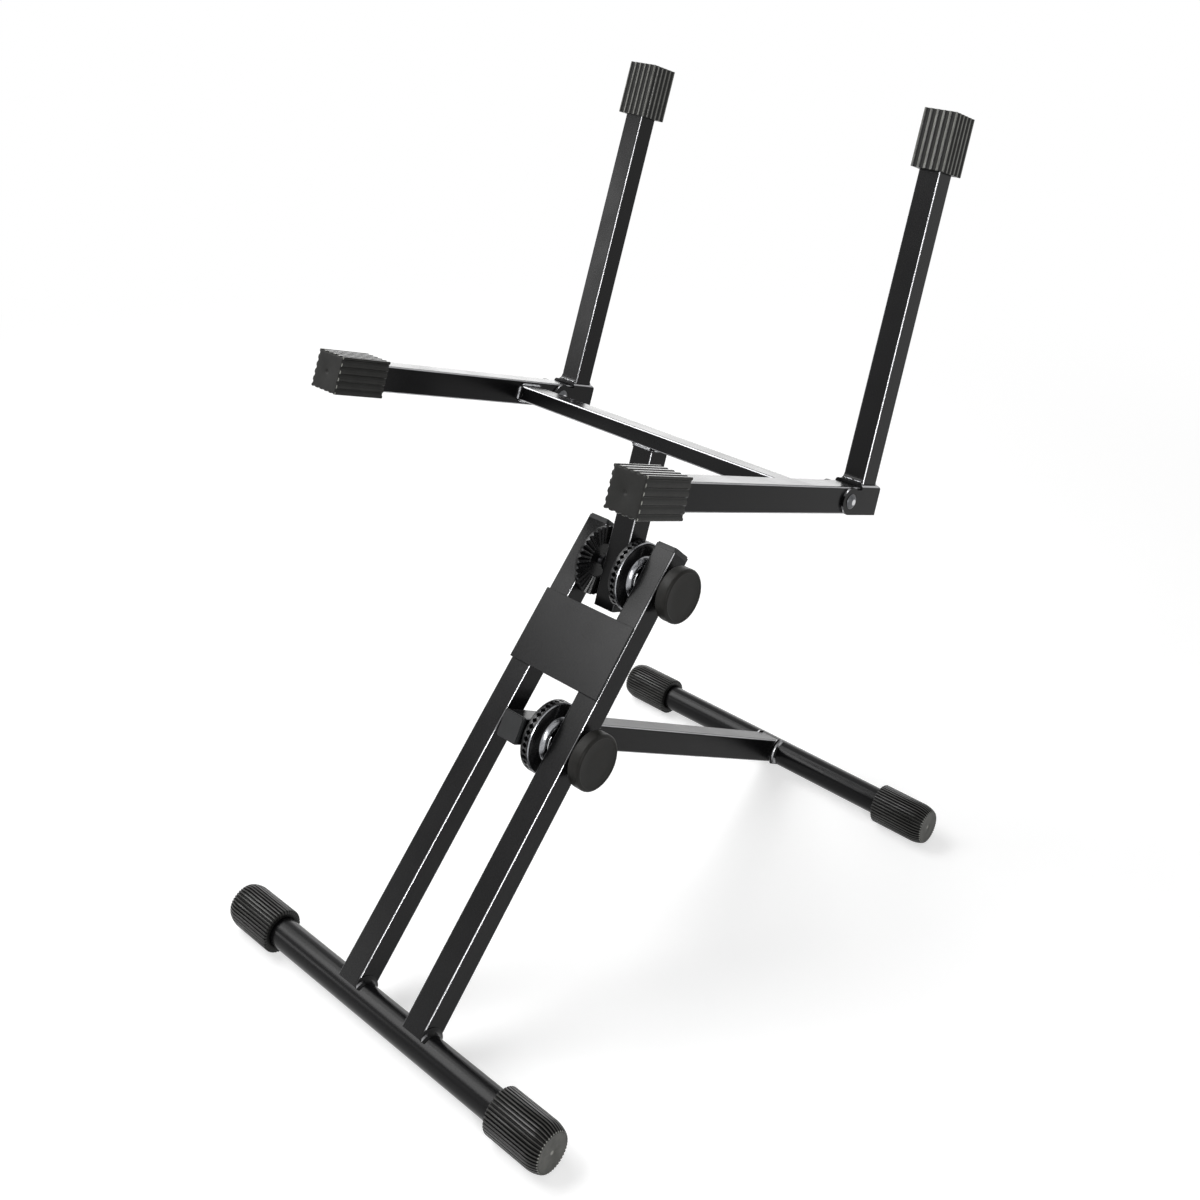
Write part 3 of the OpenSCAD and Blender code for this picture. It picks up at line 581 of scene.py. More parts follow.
# where the crossbar's ends, sides and faces and the neck's top carry their beads
bar_end = ARM_X - TUBE / 2 - SEAT
bar_side, bar_top = BAR_D / 2 + SEAT, BAR_H / 2 + SEAT
neck_top = NECK_H - BAR_H / 2 - SEAT
cradle_welds = []
for m in SIDES:
    for n in (-1, 1):
        low_end = (m * bar_end, n * bar_side, NECK_H - BAR_H / 2 + BEAD_END)
        high_end = (m * bar_end, n * bar_side, NECK_H + BAR_H / 2 - BEAD_END)
        cradle_welds.append(straight(cradle_frame, low_end, high_end))
        level = NECK_H + n * bar_top
        front_end = (m * bar_end, LONG_END - bar_side, level)
        back_end = (m * bar_end, bar_side - LONG_END, level)
        cradle_welds.append(straight(cradle_frame, front_end, back_end))
    side = m * (TUBE / 2 + SEAT)
    reach = TUBE / 2 - BEAD_END
    cradle_welds.append(straight(cradle_frame, (side, -reach, neck_top), (side, reach, neck_top)))
    cradle_welds.append(straight(cradle_frame, (-reach, side, neck_top), (reach, side, neck_top)))
WELDS = {"cradle": cradle_welds}
reach = UPRIGHT / 2 - BEAD_END
foot = WEB_TOP + SEAT
for m, side in SIDES.items():
    WELDS[side + "_upright"] = [
        straight(hinge_frame[m], (-reach, y, foot), (reach, y, foot))
        for y in (UPRIGHT_SET - SEAT, UPRIGHT_SET + UPRIGHT + SEAT)
    ]
bead_tree = weld_tree()
for seed, (body, paths) in enumerate(WELDS.items()):
    mesh = grown(chains(paths), bead_tree, bead_paint, Seed=float(seed))
    piece("weld_beads_" + body, shaded(mesh, 60), bead_paint, body, "black_steel")


# ---------- rubber caps ----------


def close_cap(tree, given, smooth, dust_and_highlight, shift):
    """Stores "smooth" and the paleness of dust and painted highlight on a cap's points, shifts them and
    ends the tree
    """
    cap = given["Geometry"]
    for name, value in (("smooth", smooth), ("dust_and_highlight", dust_and_highlight)):
        cap = add(tree, "GeometryNodeStoreNamedAttribute", {"Geometry": cap, "Name": name, "Value": value},
                  data_type="FLOAT", domain="POINT")
    cap = add(tree, "GeometryNodeSetPosition", {"Geometry": cap, "Offset": shift})
    return close_tree(tree, cap, given)


# Shares of a flute's width from its middle: its floor ends at the first and its side at the second
FLUTE_FLOOR, FLUTE_SIDE = 0.24, 0.6
# shares of the flutes' pitch from a flute's middle between which a crest's painted highlight sets in
TOP_FROM, TOP_FULL = 0.24, 0.42


def flute_tree():
    """Flutes down a round cap: grooves with hollow sides. "smooth" is stored for the crests between them,
    and a paleness that paints a highlight on the crests' tops, makes the end face paler, and paints the
    brightest highlight on the crests' ends at its rim"""
    tree, given = grow_tree(
        "cap_flutes", Flutes=FLUTES, Width=FLUTE_W * FLUTES / (math.pi * CAP_D), Depth=FLUTE_DEPTH * MM,
        From=15.5 * MM, Rim=(CAP_L - 0.5) * MM, Rim_Half=0.4 * MM, End=(CAP_L - 0.7) * MM, Gate=1.7 * MM,
        Rubbed=0.13, End_Rubbed=0.28,
    )
    flat, turns, height = around_z(tree)
    radius = add(tree, VECTOR_MATH, (flat,), operation="LENGTH").outputs["Value"]
    count = add(tree, MATH, (turns, given["Flutes"]), operation="MULTIPLY")
    away = add(tree, MATH, (count, 0.5), operation="PINGPONG")
    half = add(tree, MATH, (given["Width"], FLUTE_SIDE), operation="MULTIPLY")
    floor_half = add(tree, MATH, (given["Width"], FLUTE_FLOOR), operation="MULTIPLY")
    ridge = add(tree, RANGE, {"Value": away, "From Min": floor_half, "From Max": half},
                interpolation_type="SMOOTHSTEP")
    cut = add(tree, RANGE, {"Value": ridge, "To Min": given["Depth"], "To Max": 0.0})
    outer = add(tree, MATH, (radius, given["From"]), operation="GREATER_THAN")
    cut = add(tree, MATH, (cut, outer), operation="MULTIPLY")
    outward = add(tree, VECTOR_MATH, (flat,), operation="NORMALIZE")
    crest = add(tree, MATH, (ridge, outer), operation="MULTIPLY")
    top = add(tree, RANGE, {"Value": away, "From Min": TOP_FROM, "From Max": TOP_FULL})
    top = add(tree, MATH, (top, outer), operation="MULTIPLY")
    # painted highlight: the crests' tops are made paler
    pale = add(tree, MATH, (top, given["Rubbed"]), operation="MULTIPLY")
    rim = add(tree, MATH, (height, given["Rim"], given["Rim_Half"]), operation="COMPARE")
    rim = add(tree, MATH, (rim, top), operation="MULTIPLY")
    gate = add(tree, MATH, (radius, given["Gate"]), operation="LESS_THAN")
    end = add(tree, MATH, (height, given["End"]), operation="GREATER_THAN")
    end = add(tree, MATH, (end, given["End_Rubbed"]), operation="MULTIPLY")
    # the painted highlight on the crests' ends at the rim, the pale gate mark and the paler end face
    for wear_and_highlight in (rim, gate, end):
        pale = add(tree, MATH, (pale, wear_and_highlight), operation="MAXIMUM")
    return close_cap(tree, given, crest, pale, sunk(tree, outward, cut))


def groove_tree():
    """Grooves down the four sides of a square cap: hollow, with flat ridges between. "smooth" is stored
    for the ridges, and a paleness for a painted highlight on their tops and on their ends at the end
    face's rim, and for dust on the rest"""
    pitch = (BOX_CAP - RIDGE) / GROOVES
    tree, given = grow_tree(
        "cap_grooves", Pitch=pitch * MM, Ridge=RIDGE / pitch, Depth=GROOVE_DEPTH * MM, Hollow=2.4,
        From=15.0 * MM, Rim=(BOX_CAP_L - 0.26) * MM, Rim_Half=0.2 * MM, Rubbed=0.47, Dusty=0.016, Worn=0.0,
    )
    place = add(tree, "GeometryNodeInputPosition")
    xyz = add(tree, "ShaderNodeSeparateXYZ", (place,)).outputs
    far_x = add(tree, MATH, (xyz["X"],), operation="ABSOLUTE")
    far_y = add(tree, MATH, (xyz["Y"],), operation="ABSOLUTE")
    on_x = add(tree, MATH, (far_x, far_y), operation="GREATER_THAN")
    on_y = add(tree, MATH, (1.0, on_x), operation="SUBTRACT")
    along = add(tree, MIX, {0: on_x, 2: xyz["X"], 3: xyz["Y"]}, data_type="FLOAT")
    count = add(tree, MATH, (along, given["Pitch"]), operation="DIVIDE")
    away = add(tree, MATH, (count, 0.5), operation="PINGPONG")
    open_half = add(tree, MATH, (1.0, given["Ridge"]), operation="SUBTRACT")
    open_half = add(tree, MATH, (open_half, 0.5), operation="MULTIPLY")
    share = add(tree, MATH, (away, open_half), operation="DIVIDE", use_clamp=True)
    ridge = add(tree, MATH, (share, given["Hollow"]), operation="POWER")
    hollow = add(tree, MATH, (1.0, ridge), operation="SUBTRACT")
    far = add(tree, MATH, (far_x, far_y), operation="MAXIMUM")
    outer = add(tree, MATH, (far, given["From"]), operation="GREATER_THAN")
    cut = add(tree, MATH, (hollow, given["Depth"]), operation="MULTIPLY")
    cut = add(tree, MATH, (cut, outer), operation="MULTIPLY")
    outward = {}
    for axis, on in (("X", on_x), ("Y", on_y)):
        sign = add(tree, MATH, (xyz[axis],), operation="SIGN")
        outward[axis] = add(tree, MATH, (sign, on), operation="MULTIPLY")
    outward = add(tree, "ShaderNodeCombineXYZ", outward)
    smooth = add(tree, MATH, (ridge, outer), operation="MULTIPLY")
    crest = add(tree, MATH, (smooth, 4.0), operation="POWER")
    # painted highlight on the ridges' tops and on their ends at the end face's rim, and dust all over
    pale = add(tree, MATH, (crest, given["Rubbed"]), operation="MULTIPLY")
    rim = add(tree, MATH, (xyz["Z"], given["Rim"], given["Rim_Half"]), operation="COMPARE")
    for factor in (crest, given["Worn"]):
        rim = add(tree, MATH, (rim, factor), operation="MULTIPLY")
    for wear_and_highlight in (given["Dusty"], rim):
        pale = add(tree, MATH, (pale, wear_and_highlight), operation="MAXIMUM")
    return close_cap(tree, given, smooth, pale, sunk(tree, outward, cut))


# points round a cap for each flute, and across each groove of a square one
FLUTE_STEPS, GROOVE_STEPS = 10, 20


def round_cap():
    """Blank of a round cap, mouth at z = 0, drawn in towards its end, with a gate mark in the middle"""
    r, inside = CAP_D / 2, ROUND_D / 2 + CAP_GAP
    bow = (DRAW_L**2 + DRAW_IN**2) / (2 * DRAW_IN)
    sweep = math.degrees(math.asin(DRAW_L / bow))
    drawn = arc(r - bow, CAP_L - DRAW_L, bow, 0, sweep, 12)
    edge = 0.5
    end_r = drawn[-1][0]
    outline = [(0, CAP_L - CAP_END), (inside, CAP_L - CAP_END), (inside, 0.6), (inside + 0.6, 0)]
    outline += [(r - 0.9, 0), (r - 0.3, 0.3), (r, 1)] + drawn[:-1]
    outline += arc(end_r - edge, CAP_L - edge, edge, 10, 90, 4)
    outline += [(end_r - 1.6, CAP_L), (end_r - 2.4, CAP_L - 0.15), (9, CAP_L - 0.3)]
    outline += [(2.6, CAP_L - 0.3), (2.1, CAP_L - 0.5), (1.2, CAP_L - 1.1), (0, CAP_L - 1.2)]
    return turned(outline, FLUTES * FLUTE_STEPS)


def box_ring(half, height):
    """Square ring with rounded corners, with a point at every step of the grooves' pattern"""
    n = GROOVES * GROOVE_STEPS + 4
    edge = BOX_CAP_EDGE
    sides = []
    for quarter in range(4):
        for k in range(n):
            x, y = half, half * (2 * k / n - 1)
            if abs(y) > half - edge:
                middle = Vector((half - edge, math.copysign(half - edge, y)))
                x, y = middle + (Vector((x, y)) - middle).normalized() * edge
            c, s = ((1, 0), (0, 1), (-1, 0), (0, -1))[quarter]
            sides.append((c * x - s * y, s * x + c * y, height))
    return sides


def rounded_ring(radius, like, height):
    """Round ring whose points lie at the same angles as another ring's"""
    return [(radius * x / math.hypot(x, y), radius * y / math.hypot(x, y), height) for x, y, _ in like]


def box_cap(tube):
    """Blank of a square cap for a tube of that width, mouth at z = 0, with a gate mark on its flat end"""
    half, inside, end = BOX_CAP / 2, tube / 2 + CAP_GAP, BOX_CAP_L
    outline = [
        (inside, end - BOX_CAP_END), (inside, 0.5), (inside + 0.5, 0), (half - 0.35, 0), (half, 0.35),
        (half, end - 1.2), (half, end - 0.4), (half - 0.12, end - 0.12), (half - 0.4, end),
        (half - 2.6, end),
    ]
    rings = [box_ring(far, height) for far, height in outline]
    rings += [rounded_ring(r, rings[0], z) for r, z in ((3, end), (2.2, end - 0.25), (1.2, end - 0.9))]
    return lofted(rings + [[(0, 0, end - 0.95)]])


flutes = flute_tree()
for body, base_y, end in (("main_frame", FRONT_Y, "front"), ("rear_leg", REAR_Y, "rear")):
    for m, side in SIDES.items():
        at = move(m * (BASE_W / 2 - CAP_L), base_y, AXLE_Z) @ turn("Y", m * 90)
        mesh = shaded(placed(grown(round_cap(), flutes, rubber), at), 50)
        node = end + "_cap_" + side
        piece("ribbed_" + node, mesh, rubber, body, "black_rubber", node)

# how the arm caps look beside the others: blunter, dustier, with less painted highlight on their ridges'
# tops and a painted highlight on their ridges' ends at the end face's rim
ARM_CAP = {"Rubbed": 0.05, "Dusty": 0.03, "Worn": 1.0, "Ridge": 0.38}
grooves = groove_tree()
for m, side in SIDES.items():
    mesh = grown(box_cap(TUBE), grooves, rubber, **ARM_CAP)
    at = cradle_frame @ move(m * ARM_X, BOX_CAP_L - ARM_FRONT, NECK_H) @ turn("X", 90)
    node = "arm_cap_" + side
    piece("ribbed_" + node, shaded(placed(mesh, at)), rubber, "cradle", "black_rubber", node)
    # the upright caps keep the full painted highlight on their ridges' tops
    mesh = grown(box_cap(UPRIGHT), grooves, rubber)
    at = hinge_frame[m] @ move(0, UPRIGHT_SET + UPRIGHT / 2, UPRIGHT_L - BOX_CAP_L)
    node = "upright_cap_" + side
    piece("ribbed_" + node, shaded(placed(mesh, at)), rubber, side + "_upright", "black_rubber", node)


# ---------- clutches and springs ----------

# A point this near a face or an edge is on it
TOUCH = 0.02 * MM
# share of a clutch's radius from which the tips rub, and points round it for each tooth
TIP_RING, TOOTH_STEPS = 0.95, 8


def teeth_tree():
    """Radial teeth with 45-degree flanks in a flat ring of a turned blank, deeper with the radius. Side is
    the direction in which they are cut along z; bare metal is stored for the tips that rub, most at the rim"""
    tree, given = grow_tree("clutch_teeth", Teeth=TEETH, Face=0.0, Side=1.0, Inside=TOOTH_IN * MM,
                            Outside=DISC_R * MM, Depth=TOOTH_H * MM)
    flat, turns, height = around_z(tree)
    radius = add(tree, VECTOR_MATH, (flat,), operation="LENGTH").outputs["Value"]
    count = add(tree, MATH, (turns, given["Teeth"]), operation="MULTIPLY")
    away = add(tree, MATH, (count, 0.5), operation="PINGPONG")
    away = add(tree, MATH, (away, 2 * math.pi), operation="MULTIPLY")
    away = add(tree, MATH, (away, given["Teeth"]), operation="DIVIDE")
    slope = add(tree, MATH, (given["Depth"], given["Outside"]), operation="DIVIDE")
    cut = add(tree, MATH, (slope, away), operation="SUBTRACT")
    cut = add(tree, MATH, (cut, 0.0), operation="MAXIMUM")
    shift = cut
    for factor in (radius, given["Side"]):
        shift = add(tree, MATH, (shift, factor), operation="MULTIPLY")
    offset = add(tree, "ShaderNodeCombineXYZ", {"Z": shift})
    near = add(tree, MATH, (height, given["Face"], TOUCH), operation="COMPARE")
    inner = add(tree, MATH, (given["Inside"], TOUCH), operation="SUBTRACT")
    ring = add(tree, MATH, (radius, inner), operation="GREATER_THAN")
    toothed = add(tree, MATH, (near, ring), operation="MULTIPLY")
    tip = add(tree, RANGE, {"Value": cut, "From Max": 0.02, "To Min": 0.35, "To Max": 0.0})
    start = add(tree, MATH, (given["Outside"], TIP_RING), operation="MULTIPLY")
    rim = add(tree, RANGE, {"Value": radius, "From Min": start, "From Max": given["Outside"]})
    bare_and_highlight = add(tree, MATH, (tip, rim), operation="MULTIPLY")
    marked = add(tree, "GeometryNodeStoreNamedAttribute", {
        "Geometry": given["Geometry"], "Selection": toothed, "Name": "bare_and_highlight", "Value": bare_and_highlight,
    }, data_type="FLOAT", domain="POINT")
    moved = {"Geometry": marked, "Selection": toothed, "Offset": offset}
    return close_tree(tree, add(tree, "GeometryNodeSetPosition", moved), given)


def coil_tree():
    """Open coil spring of round wire, standing on z = 0"""
    rise = SPRING_L - SPRING_WIRE
    tree, given = grow_tree("coil_spring", Radius=SPRING_R * MM, Wire=SPRING_WIRE * MM, Height=rise * MM,
                            Turns=rise / SPRING_PITCH)
    coil = add(tree, "GeometryNodeCurveSpiral", {
        "Resolution": 64, "Rotations": given["Turns"], "Start Radius": given["Radius"],
        "End Radius": given["Radius"], "Height": given["Height"], "Reverse": False,
    })
    half = add(tree, MATH, (given["Wire"], 0.5), operation="MULTIPLY")
    wire = add(tree, "GeometryNodeCurvePrimitiveCircle", {"Resolution": 16, "Radius": half})
    spring = add(tree, "GeometryNodeCurveToMesh", {"Curve": coil, "Profile Curve": wire, "Fill Caps": True})
    return close_tree(tree, spring, given)


def clutch_plate():
    """Blank of a toothed plate, welded side at z = 0"""
    low, face = BACK_CONE, PLATE_H
    return turned([
        (BORE_R, 0), (BACK_R - 0.4, 0), (BACK_R, 0.2), (DISC_R - 0.6, low - 0.3), (DISC_R - 0.15, low),
        (DISC_R, low + 0.5), (DISC_R, face - TOOTH_H - 0.1), (DISC_R, face), (DISC_R * TIP_RING, face),
        (TOOTH_IN, face), (TOOTH_IN - 1, face - RECESS), (BORE_R + 3, face - RECESS),
        (BORE_R + 2.6, face - RECESS - 0.4), (BORE_R, face - RECESS - 0.4),
    ], TEETH * TOOTH_STEPS, joined=True)


def clutch_dish():
    """Blank of a dish, toothed face at z = 0, with its cone, its hub and the spring's pocket above"""
    rim = TOOTH_H + DISC_RIM
    top = HUB_Z + HUB_H
    stop = DISH_L - FACE_GAP
    face = [(BORE_R, RECESS), (TOOTH_IN - 1, RECESS), (TOOTH_IN, 0), (DISC_R * TIP_RING, 0), (DISC_R, 0)]
    edge = [(DISC_R, TOOTH_H + 0.1), (DISC_R, rim - 0.9), (DISC_R - 0.2, rim - 0.75)]
    edge += [(DISC_R - 0.95, rim - 0.05), (DISC_R - 1.2, rim), (DISC_R - 2.4, rim), (DISC_R - 3, rim + 0.4)]
    cone = [(HUB_R + 1.2, HUB_Z - 0.15), (HUB_R + 0.2, HUB_Z + 0.1), (HUB_R + 0.1, HUB_Z + 0.1)]
    hub = [(HUB_R, HUB_Z + 0.2), (HUB_R - 0.15, HUB_Z + 0.6), (HUB_R - 1.6, HUB_Z + 2.15)]
    hub += [(HUB_R - 3.1, top - 0.35), (HUB_R - 3.5, top - 0.05), (HUB_R - 3.8, top), (POCKET_R + 0.3, top)]
    pocket = [(POCKET_R, top - 0.3), (POCKET_R, POCKET_Z + 0.5), (POCKET_R - 0.5, POCKET_Z)]
    boss = [(BOSS_R, POCKET_Z), (BOSS_R, stop - 0.4), (BOSS_R - 0.4, stop), (BORE_R, stop)]
    return turned(face + edge + cone + hub + pocket + boss, TEETH * TOOTH_STEPS, joined=True)


def mark_bare_and_highlight(mesh, rings):
    """Stores bare metal and painted highlight on rings of a turned body: least and most radius, least and
    most height
    """
    mark = mesh.attributes.get("bare_and_highlight") or mesh.attributes.new("bare_and_highlight", "FLOAT", "POINT")
    for vertex in mesh.vertices:
        x, y, z = vertex.co / MM
        for inner, outer, low, high in rings:
            if inner < math.hypot(x, y) < outer and low < z < high:
                mark.data[vertex.index].value = 1


teeth = teeth_tree()
coil = coil_tree()
for node, along, x, body in (
    ("toothed_disc_left", HIGH_S, -LEG_IN, "main_frame"),
    ("neck_clutch_plate", HIGH_S, TUBE / 2, "cradle"),
    ("strut_clutch_plate", LOW_S, TUBE / 2, "rear_leg"),
):
    mesh = grown(clutch_plate(), teeth, clutch_enamel, Face=PLATE_H * MM, Side=-1.0)
    mesh = shaded(placed(mesh, on_pivot(along, x)))
    piece("cast_" + node, mesh, clutch_enamel, body, "clutch_steel", node)

hub_ring = (POCKET_R + 0.02, HUB_R + 0.05, HUB_Z + 0.2, DISH_L)
# painted highlight: the dish's rim chamfer is marked as bright metal all round
rim_highlight_ring = (DISC_R - 1, DISC_R - 0.1, TOOTH_H + DISC_RIM - 0.8, TOOTH_H + DISC_RIM - 0.02)
for level, along in PIVOTS.items():
    seat = on_pivot(along, TUBE / 2 + PLATE_H + CREST_GAP)
    mesh = grown(clutch_dish(), teeth, clutch_enamel)
    mark_bare_and_highlight(mesh, [hub_ring, rim_highlight_ring])
    node = "clutch_dish_" + level
    piece("cast_" + node, shaded(placed(mesh, seat)), clutch_enamel, "main_frame", "clutch_steel", node)
    mesh = grown(bpy.data.meshes.new("coil"), coil, spring_steel)
    mesh = placed(mesh, seat @ move(0, 0, POCKET_Z + SPRING_SEAT + SPRING_WIRE / 2))
    node = "spring_" + level
    piece("wound_" + node, shaded(mesh, 60), spring_steel, "main_frame", "plated_steel", node)


# ---------- bolts, knobs and rivets ----------

# The stretch of a bolt that shows its thread, beside the clutch
THREAD_FROM = LEG_OUT - TUBE / 2 - CLUTCH_GAP + 2
THREAD_TO = LEG_OUT - TUBE / 2
THREAD_PITCH, THREAD_DEPTH = 1.25, 0.6


def thread_tree():
    """Screw thread on a round shank between two heights: a V groove that fades in at both ends"""
    tree, given = grow_tree("screw_thread", Pitch=THREAD_PITCH * MM, Depth=THREAD_DEPTH * MM,
                            Start=THREAD_FROM * MM, Stop=THREAD_TO * MM)
    flat, turns, height = around_z(tree)
    climb = add(tree, MATH, (height, given["Pitch"]), operation="DIVIDE")
    phase = add(tree, MATH, (climb, turns), operation="SUBTRACT")
    groove = add(tree, MATH, (phase, 0.5), operation="PINGPONG")
    run_in = add(tree, MATH, (given["Start"], given["Pitch"]), operation="ADD")
    run_out = add(tree, MATH, (given["Stop"], given["Pitch"]), operation="SUBTRACT")
    begun = add(tree, RANGE, {"Value": height, "From Min": given["Start"], "From Max": run_in})
    ended = {"Value": height, "From Min": run_out, "From Max": given["Stop"], "To Min": 1.0, "To Max": 0.0}
    ended = add(tree, RANGE, ended)
    fade = add(tree, MATH, (begun, ended), operation="MULTIPLY")
    cut = groove
    for factor in (given["Depth"], 2.0, fade):
        cut = add(tree, MATH, (cut, factor), operation="MULTIPLY")
    outward = add(tree, VECTOR_MATH, (flat,), operation="NORMALIZE")
    bolt = {"Geometry": given["Geometry"], "Offset": sunk(tree, outward, cut)}
    return close_tree(tree, add(tree, "GeometryNodeSetPosition", bolt), given)


def clamp_bolt():
    """Bolt with a low domed head below z = 0 and its shank above; the thread that shows has close rings"""
    r = BOLT_D / 2
    end = 2 * LEG_OUT + KNOB_GRIP
    outline = dome(BOLT_HEAD, BOLT_HEAD_H, 0, -1)[::-1]
    outline += [(BOLT_HEAD / 2, 0), (r, 0)]
    outline += divided((r, THREAD_FROM), (r, THREAD_TO), 0.2)
    outline += [(r, end - 0.8), (r - 0.8, end), (0, end)]
    return turned(outline, 24)


def hand_knob():
    """Hand knob, leg side at z = 0: a hub, and a thick disc with rounded edges and a face behind a lip"""
    r, top = KNOB_D / 2, KNOB_HUB + KNOB_T
    hub_r = KNOB_HUB_D / 2
    outline = [(0, KNOB_GRIP), (BORE_R, KNOB_GRIP), (BORE_R, FACE_GAP), (hub_r - 0.5, FACE_GAP)]
    outline += [(hub_r, 0.8), (hub_r, KNOB_HUB - 2), (hub_r + 0.8, KNOB_HUB - 1.2), (r - 3, KNOB_HUB)]
    outline += arc(r - 3, KNOB_HUB + 3, 3, -90, 0, 6)[1:]
    outline += arc(r - 2.8, top - 2.8, 2.8, 0, 90, 8)
    outline += [(r - 3.1, top), (r - 3.5, top - 0.35), (r - 4, top - 0.45), (r * 0.5, top - 0.5)]
    outline.append((0, top - 0.5))
    return turned(outline, 128)


def hinge_rivet():
    """Rivet about z with a domed head at both ends"""
    half = TUBE / 2 + SHEET_GAP + SHEET + FACE_GAP
    heads = dome(RIVET_HEAD, RIVET_HEAD_H, half)
    edge = RIVET_HEAD / 2
    outline = [(r, -z) for r, z in heads[::-1]] + [(edge, -half), (RIVET_D / 2, -half)]
    outline += [(RIVET_D / 2, half), (edge, half)] + heads
    return turned(outline, 64)


threads = thread_tree()
for level, along in PIVOTS.items():
    mesh = placed(grown(clamp_bolt(), threads, bolt_steel), on_pivot(along, -LEG_OUT))
    node = "clamp_bolt_" + level
    piece("plated_" + node, shaded(mesh), bolt_steel, "main_frame", "plated_steel", node)
    mesh = placed(hand_knob(), on_pivot(along, LEG_OUT))
    node = "knob_" + level
    piece("moulded_" + node, shaded(mesh), grip_plastic, level + "_knob", "knob_plastic", node)

# the middle of the rivets' heads, where a highlight is painted in paler metal
painted_highlight_middle = (-1, 2.6, -TUBE, TUBE)
for m, side in SIDES.items():
    mesh = hinge_rivet()
    mark_bare_and_highlight(mesh, [painted_highlight_middle])
    mesh = placed(mesh, hinge_frame[m] @ turn("Y", 90))
    node = "hinge_rivet_" + side
    piece("peened_" + node, shaded(mesh, 40), rivet_steel, "cradle", "rivet_steel", node)


# ---------- floor, light and camera ----------

# Half the paper's width, the distances from the stand between which it turns from shaded to plain white,
# all in metres, and the light that paper and sky give: near, far and above
PAPER_HALF = 30
SHADED_TO, WHITE_FROM = 0.5, 2.2
NEAR_GLOW, FAR_GLOW, SKY_GLOW = 0.58, 0.6, 0.22


def seen_rays(tree):
    """1 for a ray from the eye, straight, off a gloss or through glass, and 0 for one that lights"""
    sight = add(tree, "ShaderNodeLightPath").outputs
    seen = add(tree, MATH, (sight["Is Camera Ray"], sight["Is Glossy Ray"]), operation="MAXIMUM")
    return add(tree, MATH, (seen, sight["Is Transmission Ray"]), operation="MAXIMUM")


floor = bpy.data.meshes.new("floor")
corners = [(x * PAPER_HALF, y * PAPER_HALF, 0) for x, y in ((-1, -1), (1, -1), (1, 1), (-1, 1))]
floor.from_pydata(corners, [], [(0, 1, 2, 3)])
floor_object = in_scene("floor", floor)
paper = bpy.data.materials.new("pale_studio_paper")
paper.use_nodes = True
tree = paper.node_tree
tree.nodes.clear()
seen = seen_rays(tree)
# Near the stand the paper takes its shadow; further off it is the plain white of the background
place = add(tree, "ShaderNodeTexCoord").outputs["Object"]
spot = add(tree, VECTOR_MATH, (place,), operation="LENGTH").outputs["Value"]
distance = add(tree, RANGE, {"Value": spot, "From Min": SHADED_TO, "From Max": WHITE_FROM},
               interpolation_type="SMOOTHSTEP")
near_glow = add(tree, MATH, (seen, NEAR_GLOW), operation="MULTIPLY")
far_glow = add(tree, RANGE, {"Value": seen, "To Min": FAR_GLOW, "To Max": 1.0})
matt = add(tree, "ShaderNodeBsdfDiffuse", {"Color": linear("#cccccc")})
glow = add(tree, "ShaderNodeEmission", {"Strength": near_glow})
near = add(tree, "ShaderNodeAddShader", (matt, glow))
far = add(tree, "ShaderNodeEmission", {"Strength": far_glow})
both = add(tree, "ShaderNodeMixShader", (distance, near, far))
add(tree, "ShaderNodeOutputMaterial", {"Surface": both})
floor.materials.append(paper)

world = bpy.data.worlds.new("studio")
bpy.context.scene.world = world
world.use_nodes = True
tree = world.node_tree
tree.nodes.clear()
strength = add(tree, RANGE, {"Value": seen_rays(tree), "To Min": SKY_GLOW, "To Max": 1.0})
sky = add(tree, "ShaderNodeBackground", {"Color": (1, 1, 1, 1), "Strength": strength})
add(tree, "ShaderNodeOutputWorld", {"Surface": sky})

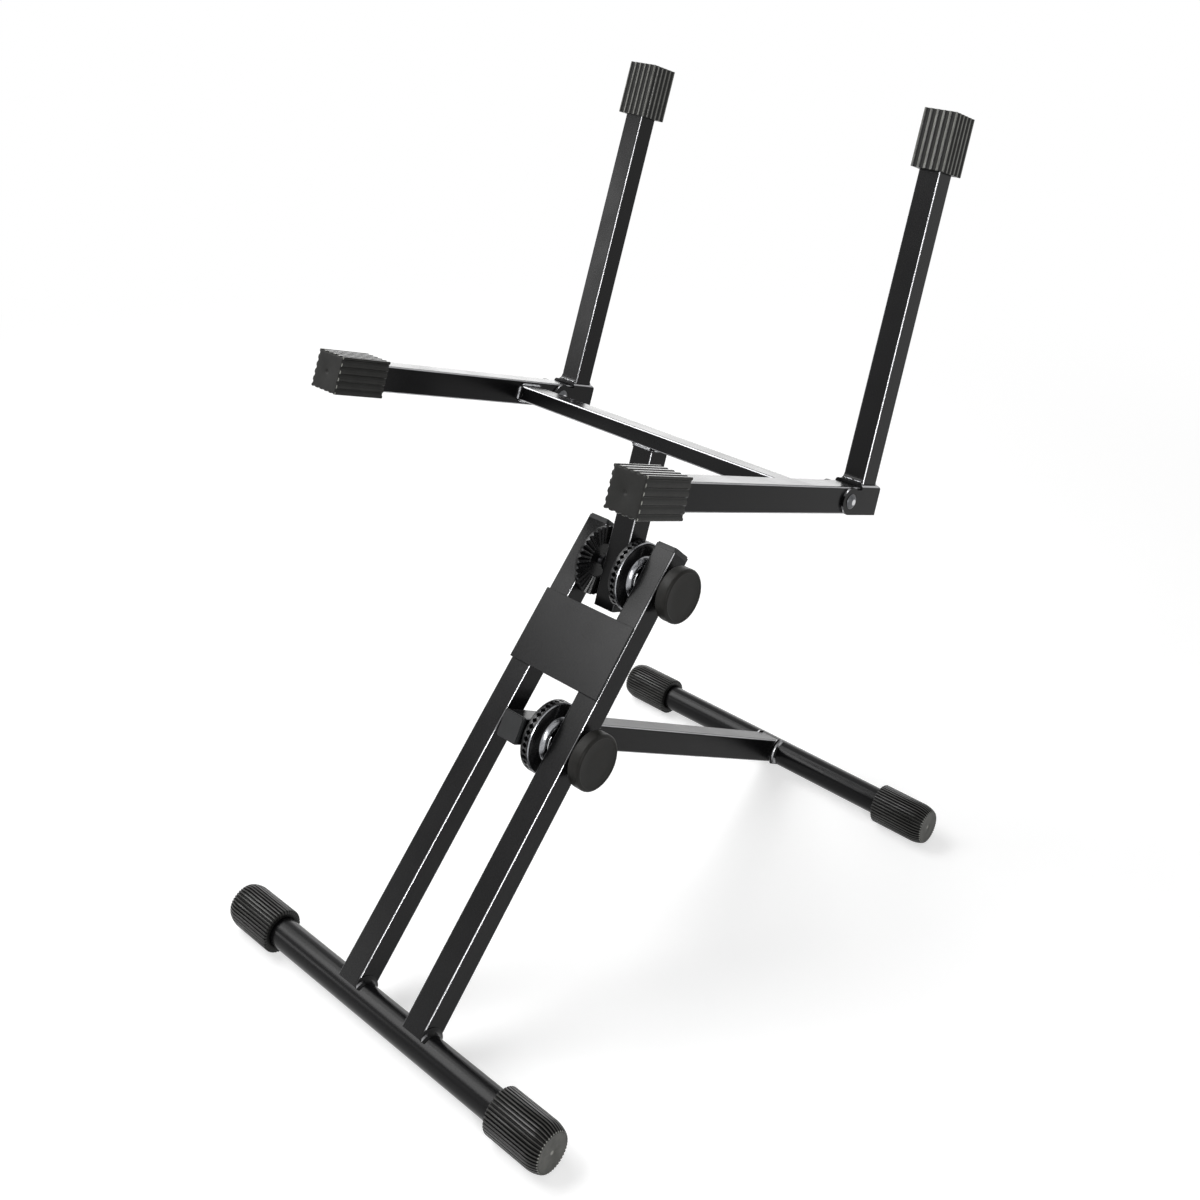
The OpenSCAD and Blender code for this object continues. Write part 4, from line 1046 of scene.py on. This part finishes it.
# The lamps: direction, distance in metres, target, size and power
LAMPS = {
    "key_softbox": ((-0.56, -0.41, 0.72), 2.7, (0, 0, 0.35), (1.7, 1.2), 46),
    "top_softbox": ((-0.57, 0.05, 0.82), 2.7, (0, 0, 0.2), (1.2, 1.2), 18),
    "upright_panel": ((-0.666, -0.714, 0.216), 8, (-0.184, 0.1, 0.62), (1.2, 1.4), 38),
    "corner_strip": ((0.816, -0.51, 0.275), 2.29, (0, 0, 0.4), (0.1, 1.05), 20),
    "rear_panel": ((-0.64, 0.77, -0.06), 2.6, (0, 0, 0.5), (1.8, 0.8), 7.5),
}


def studio_lamp(name, direction, distance, target, size, power):
    """A rectangular lamp that faces its target from a direction; the camera doesn't see it"""
    lamp = bpy.data.lights.new(name, "AREA")
    lamp.shape = "RECTANGLE"
    lamp.size, lamp.size_y = size
    lamp.energy = power
    made = in_scene(name, lamp)
    made.location = Vector(target) + Vector(direction).normalized() * distance
    made.rotation_euler = (-Vector(direction)).to_track_quat("-Z", "Y").to_euler()
    made.visible_camera = False


for name, settings in LAMPS.items():
    studio_lamp(name, *settings)

# The camera's angles in degrees, its place in millimetres, and the picture's width, focal length and
# centre in pixels
YAW, PITCH, ROLL = 40.41, 14.13, 2.0
EYE = (878.76, -949.89, 1005.65)
FRAME_W, FOCAL = 1200, 1488.93
CENTRE_X, CENTRE_Y = 678.63, 227
yaw, pitch, roll = (math.radians(angle) for angle in (YAW, PITCH, ROLL))
ahead = Vector((-math.sin(yaw) * math.cos(pitch), math.cos(yaw) * math.cos(pitch), -math.sin(pitch)))
across = ahead.cross(Vector((0, 0, 1))).normalized()
above = across.cross(ahead)
right = across * math.cos(roll) + above * math.sin(roll)
up = above * math.cos(roll) - across * math.sin(roll)
lens = bpy.data.cameras.new("camera")
lens.sensor_fit = "HORIZONTAL"
lens.sensor_width = 36
lens.lens = FOCAL * lens.sensor_width / FRAME_W
lens.shift_x = (FRAME_W / 2 - CENTRE_X) / FRAME_W
lens.shift_y = (CENTRE_Y - FRAME_W / 2) / FRAME_W
lens.clip_end = 100
camera = in_scene("camera", lens)
stand_point = Matrix((right, up, -ahead)).transposed().to_4x4()
stand_point.translation = Vector(EYE) * MM
camera.matrix_world = stand_point
bpy.context.scene.camera = camera
bpy.context.scene.view_settings.view_transform = "Standard"
